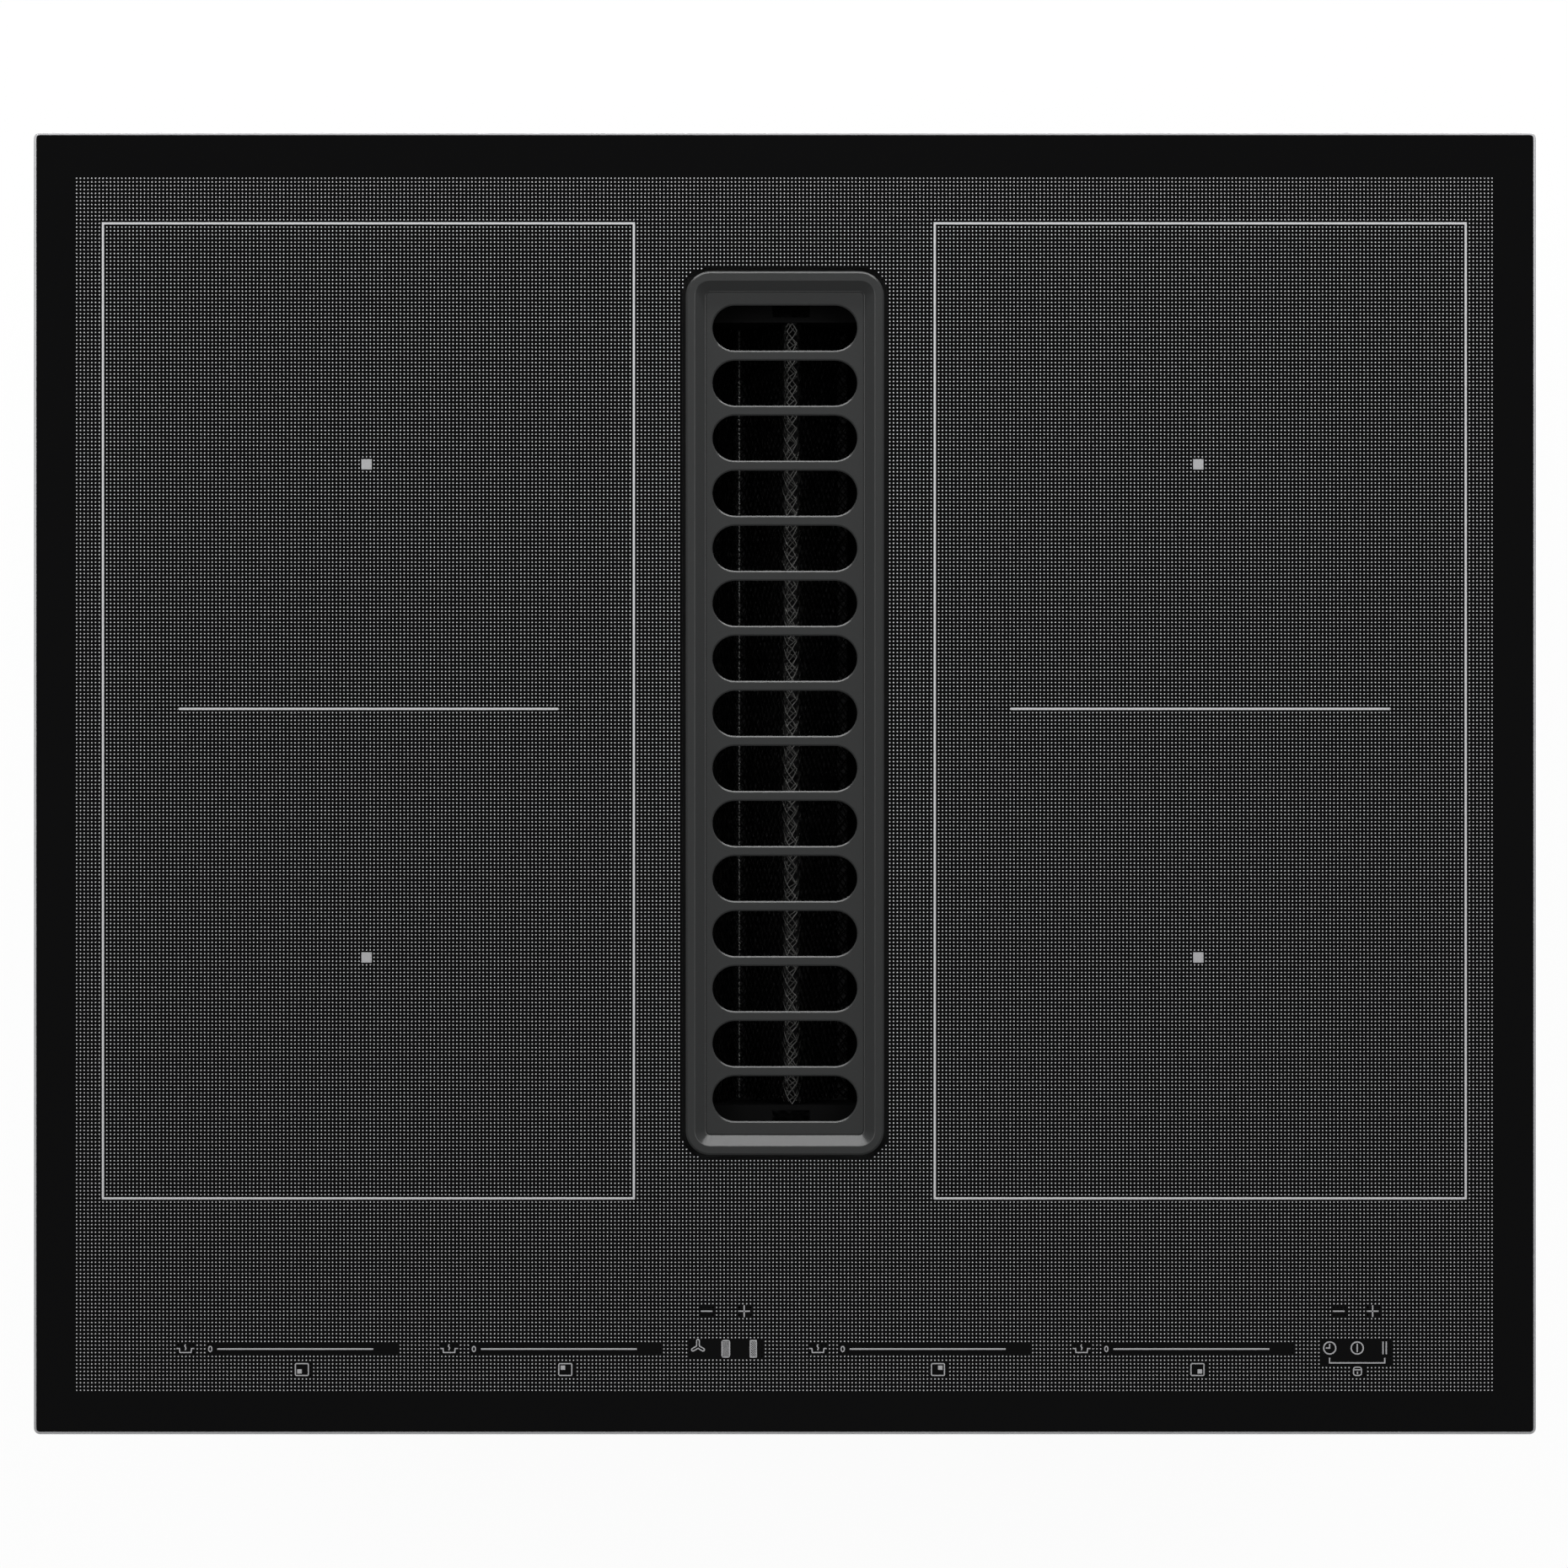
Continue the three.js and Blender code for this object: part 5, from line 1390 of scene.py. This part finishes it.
@dataclass
class GreaseFilter(SubAssembly):
    """The filter's expanded mesh, folded over a ridge into two troughs."""

    fold_line: Points = (
        (-31.0, 192.2), (-20.5, 153.3), (-16.5, 153.3), (0.5, 192.7),
        (4.5, 192.7), (21.5, 153.3), (25.5, 153.3), (31.0, 192.2),
    )
    y_ends: Point = (-128.9, 184.9)
    diamond: Point = (4.7, 5.7)
    strand: float = 0.3
    layers: tuple[Point3, ...] = ((0.0, 0.0, 0.0), (1.3, 1.9, -0.9), (-1.0, 0.9, -0.5))
    wander: float = 0.7
    seed: int = 11

    def build(self) -> Pieces:
        """Makes the mesh.

        Returns:
            The piece.
        """
        metal = self.shop.get(MESH)
        lattice = bpy.data.meshes.new("lattice")
        lattice.from_pydata(*self._lattice())
        mesh = baked(lattice, metal, strand_tree(), {"Strand": self.strand * MM})
        piece = new_piece(
            "grease_filter_lattice", mesh, metal, "filter_mesh",
            body="grease_filter", stands_for="grease_filter_mesh",
        )
        return [piece]

    def _along(self, way: float) -> Point:
        """Finds a point on the fold line.

        Args:
            way: how far along the line it is, in millimetres.

        Returns:
            Its x and height.
        """
        for (x0, z0), (x1, z1) in zip(self.fold_line, self.fold_line[1:]):
            length = math.hypot(x1 - x0, z1 - z0)
            if way <= length:
                share = way / length
                return x0 + (x1 - x0) * share, z0 + (z1 - z0) * share
            way -= length
        return self.fold_line[-1]

    def _lattice(self) -> tuple[list[Point3], list[tuple[int, int]], list[tuple[int, ...]]]:
        """Gives the strands of the expanded metal as edges.

        Returns:
            Points in metres, edges and no faces.
        """
        whole = sum(
            math.hypot(x1 - x0, z1 - z0)
            for (x0, z0), (x1, z1) in zip(self.fold_line, self.fold_line[1:])
        )
        low, high = self.y_ends
        columns = round(2 * whole / self.diamond[0])
        rows = round(2 * (high - low) / self.diamond[1])
        index: dict[tuple[int, int, int], int] = {}
        points: list[Point3] = []
        chance = random.Random(self.seed)
        for layer, (shift, slip, sink) in enumerate(self.layers):
            for column in range(columns + 1):
                way = whole * column / columns + shift + chance.uniform(-1, 1) * self.wander
                x, z = self._along(min(max(way, 0.0), whole))
                for row in range(column % 2, rows + 1, 2):
                    y = low + (high - low) * row / rows
                    y += slip + chance.uniform(-1, 1) * self.wander
                    y = min(max(y, low), high)
                    index[layer, column, row] = len(points)
                    points.append((x * MM, y * MM, (z + sink) * MM))
        edges = []
        for (layer, column, row), start in index.items():
            for step in (-1, 1):
                end = index.get((layer, column + 1, row + step))
                if end is not None:
                    edges.append((start, end))
        return points, edges, []


def strand_tree() -> bpy.types.NodeTree:
    """Builds the Geometry Nodes that turn edges into thin metal strands.

    Returns:
        The tree.
    """
    group = GeometryGroup("strands", [("Strand", FLOAT, 0.001)])
    split = group.add("GeometryNodeSplitEdges", {"Mesh": group.given["Given"]})
    curves = group.add("GeometryNodeMeshToCurve", {"Mesh": split})
    inputs = {"Resolution": 3, "Radius": group.given["Strand"]}
    section = group.add("GeometryNodeCurvePrimitiveCircle", inputs)
    inputs = {"Curve": curves, "Profile Curve": section}
    return group.give(group.add("GeometryNodeCurveToMesh", inputs))


# ---- Screws and clips ------------------------------------------------------------------


@dataclass(frozen=True)
class FastenerRow:
    """Screws or clips on one face: their turn, and runs of places as X, Y and Z values."""

    name: str
    turn: Point3
    runs: tuple[tuple[Sequence[float], Sequence[float], Sequence[float]], ...]

    def places(self) -> list[Point3]:
        """Gives the places of every run, in millimetres.

        Returns:
            The places.
        """
        return [place for run in self.runs for place in product(*run)]


@dataclass(frozen=True)
class FastenerKind:
    """What a screw or a clip is made with: its node tree, sizes, finish and slot."""

    tree: bpy.types.NodeTree
    sizes: dict[str, object]
    finish: Finish
    slot: str


QUARTER = math.pi / 2
DOWN = (2 * QUARTER, 0.0, 0.0)
TO_FRONT = (QUARTER, 0.0, 0.0)
TO_BACK = (-QUARTER, 0.0, 0.0)
CASING_END_X = (-230.0, -77.0, 77.0, 230.0)


@dataclass
class Fasteners(SubAssembly):
    """Screws on the covers, the casing and the duct collar, and the air box's clips."""

    head_radius: float = 3.0
    head_height: float = 1.3
    head_sides: int = 18
    screws: tuple[FastenerRow, ...] = (
        FastenerRow(
            "service_cover_screws", DOWN, (((-38.0, 38.0), (-82.0, 28.0, 138.0), (1.7,)),)
        ),
        FastenerRow("terminal_lid_screws", DOWN, (((-180.5, -94.5), (177.0, 231.0), (109.3,)),)),
        FastenerRow(
            "casing_floor_screws",
            DOWN,
            (
                ((-262.0,), (-225.0, 0.0, 225.0), (148.3,)),
                ((-90.0, 262.0, 90.0), (-225.0,), (148.3,)),
                ((-90.0,), (0.0,), (148.3,)),
            ),
        ),
        FastenerRow("casing_front_screws", TO_FRONT, ((CASING_END_X, (-241.0,), (157.0,)),)),
        FastenerRow("casing_back_screws", TO_BACK, ((CASING_END_X, (241.0,), (157.0,)),)),
        FastenerRow(
            "duct_collar_screws",
            TO_BACK,
            (
                ((38.2,), (238.8,), (22.0, 60.0, 96.0)),
                ((90.0, 150.0, 210.0, 264.0), (238.8,), (103.6,)),
            ),
        ),
    )

    clip_width: float = 16.0
    clip_height: float = 15.0
    clip_depth: float = 3.8
    clip_plate: float = 1.5
    clips: tuple[FastenerRow, ...] = (
        FastenerRow(
            "lid_clips_left",
            (0.0, 0.0, -QUARTER),
            (((-61.5,), (-80.0, 22.0, 124.0, 200.0), (147.9,)),),
        ),
        FastenerRow(
            "lid_clips_right", (0.0, 0.0, QUARTER), (((272.0,), (-34.0, 70.0, 174.0), (147.9,)),)
        ),
        FastenerRow("lid_clips_front", (0.0, 0.0, 0.0), (((139.0, 217.0), (-109.0,), (147.9,)),)),
    )

    def build(self) -> Pieces:
        """Makes the screws and the clips.

        Returns:
            One piece for each row.
        """
        screw_sizes = {
            "Head Radius": self.head_radius * MM,
            "Head Height": self.head_height * MM,
            "Head Sides": self.head_sides,
        }
        clip_sizes = {
            "Width": self.clip_width * MM,
            "Height": self.clip_height * MM,
            "Depth": self.clip_depth * MM,
            "Plate": self.clip_plate * MM,
        }
        screw = FastenerKind(screw_tree(), screw_sizes, SCREW, "zinc_sheet")
        clip = FastenerKind(clip_tree(), clip_sizes, DARK_PLASTIC, "dark_plastic")
        made = [self._row(screw, row) for row in self.screws]
        return made + [self._row(clip, row) for row in self.clips]

    def _row(self, kind: FastenerKind, row: FastenerRow) -> bpy.types.Object:
        """Makes one row of fasteners.

        Args:
            kind: what they are.
            row: its name, its places and their turn.

        Returns:
            The piece.
        """
        material = self.shop.get(kind.finish)
        values = {**kind.sizes, "Turn": row.turn}
        mesh = baked(plain_mesh(row.places(), []), material, kind.tree, values)
        return new_piece(row.name, smoothed(mesh), material, kind.slot)


class FastenerGroup(GeometryGroup):
    """A group that shapes one fastener, pointing along +Z, and sets copies on given points."""

    def __init__(self, name: str, sizes: Sockets) -> None:
        """Makes the group's sockets.

        Args:
            name: the group's name.
            sizes: the inputs that shape the fastener.
        """
        super().__init__(name, [*sizes, ("Turn", VECTOR, None)])

    def give(self, result: object) -> bpy.types.NodeTree:
        """Sets the copies out and ends the group.

        Args:
            result: the node that gives the fastener.

        Returns:
            The group's tree.
        """
        given = self.given
        inputs = {"Points": given["Given"], "Instance": result, "Rotation": given["Turn"]}
        return super().give(self.add("GeometryNodeInstanceOnPoints", inputs))


def screw_tree() -> bpy.types.NodeTree:
    """Builds the Geometry Nodes of a low cross-slotted screw head.

    Returns:
        The tree.
    """
    sizes = [(name, FLOAT, 0.001) for name in ("Head Radius", "Head Height")]
    group = FastenerGroup("screws", [*sizes, ("Head Sides", INTEGER, 16)])
    radius, height = group.given["Head Radius"], group.given["Head Height"]
    inputs = {
        "Vertices": group.given["Head Sides"],
        "Radius Top": group.math("MULTIPLY", radius, 0.72),
        "Radius Bottom": radius,
        "Depth": height,
    }
    head = group.add("GeometryNodeMeshCone", inputs)
    cut = group.add("GeometryNodeMeshBoolean", {"Mesh 1": head}, operation="DIFFERENCE")
    reach = [group.math("MULTIPLY", radius, share) for share in (1.1, 0.26)]
    for across in (reach, reversed(reach)):
        group.feed(cut, {"Mesh 2": group.block((*across, height), (0.0, 0.0, height))})
    return group.give(cut)


def clip_tree() -> bpy.types.NodeTree:
    """Builds the Geometry Nodes of a spring clip: a plate on a foot, hung from its top.

    Returns:
        The tree.
    """
    sizes = [(name, FLOAT, 0.01) for name in ("Width", "Height", "Depth", "Plate")]
    group = FastenerGroup("clips", sizes)
    width, height, depth, plate = (group.given[size[0]] for size in sizes)
    gap = group.math("SUBTRACT", depth, plate)
    foot = group.math("MULTIPLY", plate, 2.0)
    half_plate = group.math("MULTIPLY", plate, 0.5)
    blocks = (
        (width, plate, height, group.math("ADD", gap, half_plate), 0.0),
        (group.math("MULTIPLY", width, 0.7), gap, foot,
         group.math("MULTIPLY", gap, 0.5), group.math("SUBTRACT", height, foot)),
        (group.math("MULTIPLY", width, 0.4), plate, foot, depth, group.math("MULTIPLY", foot, 0.5)),
    )
    whole = group.add("GeometryNodeJoinGeometry")
    for across, thick, tall, out, drop in blocks:
        lower = group.math("ADD", drop, group.math("MULTIPLY", tall, 0.5))
        centre = (0.0, group.math("MULTIPLY", out, -1.0), group.math("MULTIPLY", lower, -1.0))
        group.feed(whole, {0: group.block((across, thick, tall), centre)})
    return group.give(whole)


# ---- Solids that stay as they are ------------------------------------------------------


@dataclass
class CadFinishes:
    """Gives each CAD solid that still shows its procedural material."""

    shop: MaterialShop
    nodes: dict[str, bpy.types.Object]
    coil_turn: float = 0.0056

    def dress(self) -> None:
        """Dresses the solids, with the winding's rings round the middle of each coil."""
        back, front = (sum(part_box(f"coil_{side}_left"), Vector()) / 2 for side in ("back", "front"))
        middle, spread = (0.0, (back.y + front.y) / 2), (abs(back.x), abs(back.y - front.y) / 2)
        copper = self.shop.copper_winding(middle, spread, self.coil_turn)
        board = self.shop.circuit_board()
        for name, node in self.nodes.items():
            found = (finish for finish, starts in NODE_FINISHES if name.startswith(starts))
            material = self.shop.get(next(found, GREY_PLASTIC))
            if name.startswith("coil_") and "carrier" not in name and "shelf" not in name:
                material = copper
            elif "board" in name:
                material = board
            node.data.materials.clear()
            node.data.materials.append(material)


# ---- Studio ----------------------------------------------------------------------------


@dataclass(frozen=True)
class Lamp:
    """An area lamp: where it hangs and its size, in metres, and its power in watts."""

    name: str
    place: Point3
    size: Point
    power: float


@dataclass
class Studio:
    """The camera, the lamps, the world and the pale floor, with sizes in metres."""

    glass: bpy.types.Object
    frame_width: float = 0.62626
    camera_height: float = 2.6
    camera_shift: Point = (-0.00034, -0.00024)
    sensor: float = 36.0
    view_depth: float = 50.0
    lamp_aim: Point3 = (0.0, 0.03, GLASS_TOP * MM)
    low_lamp: Lamp = Lamp("key", (0.0, 1.35, 0.534), (2.0, 0.2), 19.0)
    lamps: tuple[Lamp, ...] = (
        Lamp("back", (0.0, 1.1, 1.5), (2.2, 1.0), 13.0),
        Lamp("left", (-1.3, 0.4, 1.9), (1.2, 1.0), 10.0),
        Lamp("right", (1.3, 0.4, 1.9), (1.2, 1.0), 10.0),
        Lamp("front", (0.0, -1.3, 1.9), (1.2, 1.0), 5.0),
    )
    floor_half: float = 12.0
    floor_white: Sequence[float] = (0.95, 0.95, 0.95, 1.0)
    floor_glow: float = 0.955
    wall_low: Sequence[float] = (0.15, 0.15, 0.152, 1.0)
    wall_high: Sequence[float] = (0.085, 0.085, 0.085, 1.0)

    def set_up(self) -> None:
        """Sets up everything that isn't part of the object."""
        self._camera()
        self._floor()
        self._world()
        self._spare_glass(self._lamp(self.low_lamp))
        for lamp in self.lamps:
            self._lamp(lamp)

    def _camera(self) -> None:
        """Looks straight down on the glass, with the frame of the photograph."""
        data = bpy.data.cameras.new("camera")
        data.sensor_width = self.sensor
        data.lens = self.sensor * self.camera_height / self.frame_width
        data.clip_end = self.view_depth
        camera = linked("camera", data)
        camera.location = (*self.camera_shift, GLASS_TOP * MM + self.camera_height)
        bpy.context.scene.camera = camera

    def _floor(self) -> None:
        """Lays a white floor that keeps the object's shadow and is clear from below."""
        half = self.floor_half
        mesh = bpy.data.meshes.new("floor")
        corners = [(-half, -half, 0), (half, -half, 0), (half, half, 0), (-half, half, 0)]
        mesh.from_pydata(corners, [], [(0, 1, 2, 3)])
        material = bpy.data.materials.new("floor")
        material.use_nodes = True
        nodes = Nodes(material.node_tree)
        paint = material.node_tree.nodes["Principled BSDF"]
        nodes.feed(paint, {"Base Color": self.floor_white, "Roughness": 0.9})
        path = nodes.add("ShaderNodeLightPath").outputs
        seen = nodes.math("MAXIMUM", path["Is Camera Ray"], path["Is Glossy Ray"])
        seen = nodes.math("MAXIMUM", seen, path["Is Transmission Ray"])
        glow = nodes.add("ShaderNodeEmission", {"Strength": 1.0})
        inputs = {0: nodes.math("MULTIPLY", seen, self.floor_glow), 1: paint, 2: glow}
        above = nodes.add("ShaderNodeMixShader", inputs)
        below = nodes.add("ShaderNodeNewGeometry").outputs["Backfacing"]
        inputs = {0: below, 1: above, 2: nodes.add("ShaderNodeBsdfTransparent")}
        whole = nodes.add("ShaderNodeMixShader", inputs)
        nodes.feed(material.node_tree.nodes["Material Output"], {"Surface": whole})
        mesh.materials.append(material)
        linked("floor", mesh)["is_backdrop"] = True

    def _world(self) -> None:
        """Fills the room with a soft light that is dim overhead and brighter low down."""
        world = bpy.data.worlds.new("world")
        world.use_nodes = True
        bpy.context.scene.world = world
        bpy.context.scene.view_settings.view_transform = "Standard"
        nodes = Nodes(world.node_tree)
        place = nodes.add("ShaderNodeTexCoord").outputs["Generated"]
        height = nodes.add("ShaderNodeSeparateXYZ", {0: place}).outputs["Z"]
        ramp = nodes.add("ShaderNodeValToRGB", {"Fac": height})
        stops = ((0.25, self.wall_low), (0.8, self.wall_high))
        for element, (position, colour) in zip(ramp.color_ramp.elements, stops):
            element.position = position
            element.color = colour
        seen = nodes.add("ShaderNodeLightPath").outputs["Is Camera Ray"]
        colour = nodes.mix_colour(seen, ramp, (1.0, 1.0, 1.0, 1.0))
        nodes.feed(world.node_tree.nodes["Background"], {"Color": colour, "Strength": 1.0})

    def _spare_glass(self, lamp: bpy.types.Object) -> None:
        """Keeps a low lamp from showing as a glare in the polished glass.

        Args:
            lamp: the lamp, which lights everything else.
        """
        spared = bpy.data.collections.new("spared")
        lamp.light_linking.receiver_collection = spared
        spared.objects.link(self.glass)
        spared.collection_objects[0].light_linking.link_state = "EXCLUDE"

    def _lamp(self, lamp: Lamp) -> bpy.types.Object:
        """Hangs a lamp that shines at the middle of the glass.

        Args:
            lamp: its place, size and power.

        Returns:
            The lamp's object.
        """
        data = bpy.data.lights.new(lamp.name, "AREA")
        data.shape = "RECTANGLE"
        data.size, data.size_y = lamp.size
        data.energy = lamp.power
        hung = linked(lamp.name, data)
        hung.location = lamp.place
        way = Vector(self.lamp_aim) - Vector(lamp.place)
        hung.rotation_euler = way.to_track_quat("-Z", "Y").to_euler()
        return hung


# ---- The whole scene -------------------------------------------------------------------


def main() -> None:
    """Loads the frame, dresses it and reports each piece."""
    logging.basicConfig(level=logging.INFO)
    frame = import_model()
    cad_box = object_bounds()
    Studio(frame["nodes"]["glass_top"]).set_up()
    shop = MaterialShop()
    CadFinishes(shop, frame["nodes"]).dress()
    for kind in (EdgeTrim, Print, IntakeGrille, GreaseFilter, Fasteners):
        for piece in kind(shop).build():
            log.info("%s: %s, %d faces", kind.__name__, piece.name, len(piece.data.polygons))
    boxes = {"cad": cad_box, "visual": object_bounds()}
    {name: [list(c) for c in box] for name, box in boxes.items()}


if __name__ == "__main__":
    main()
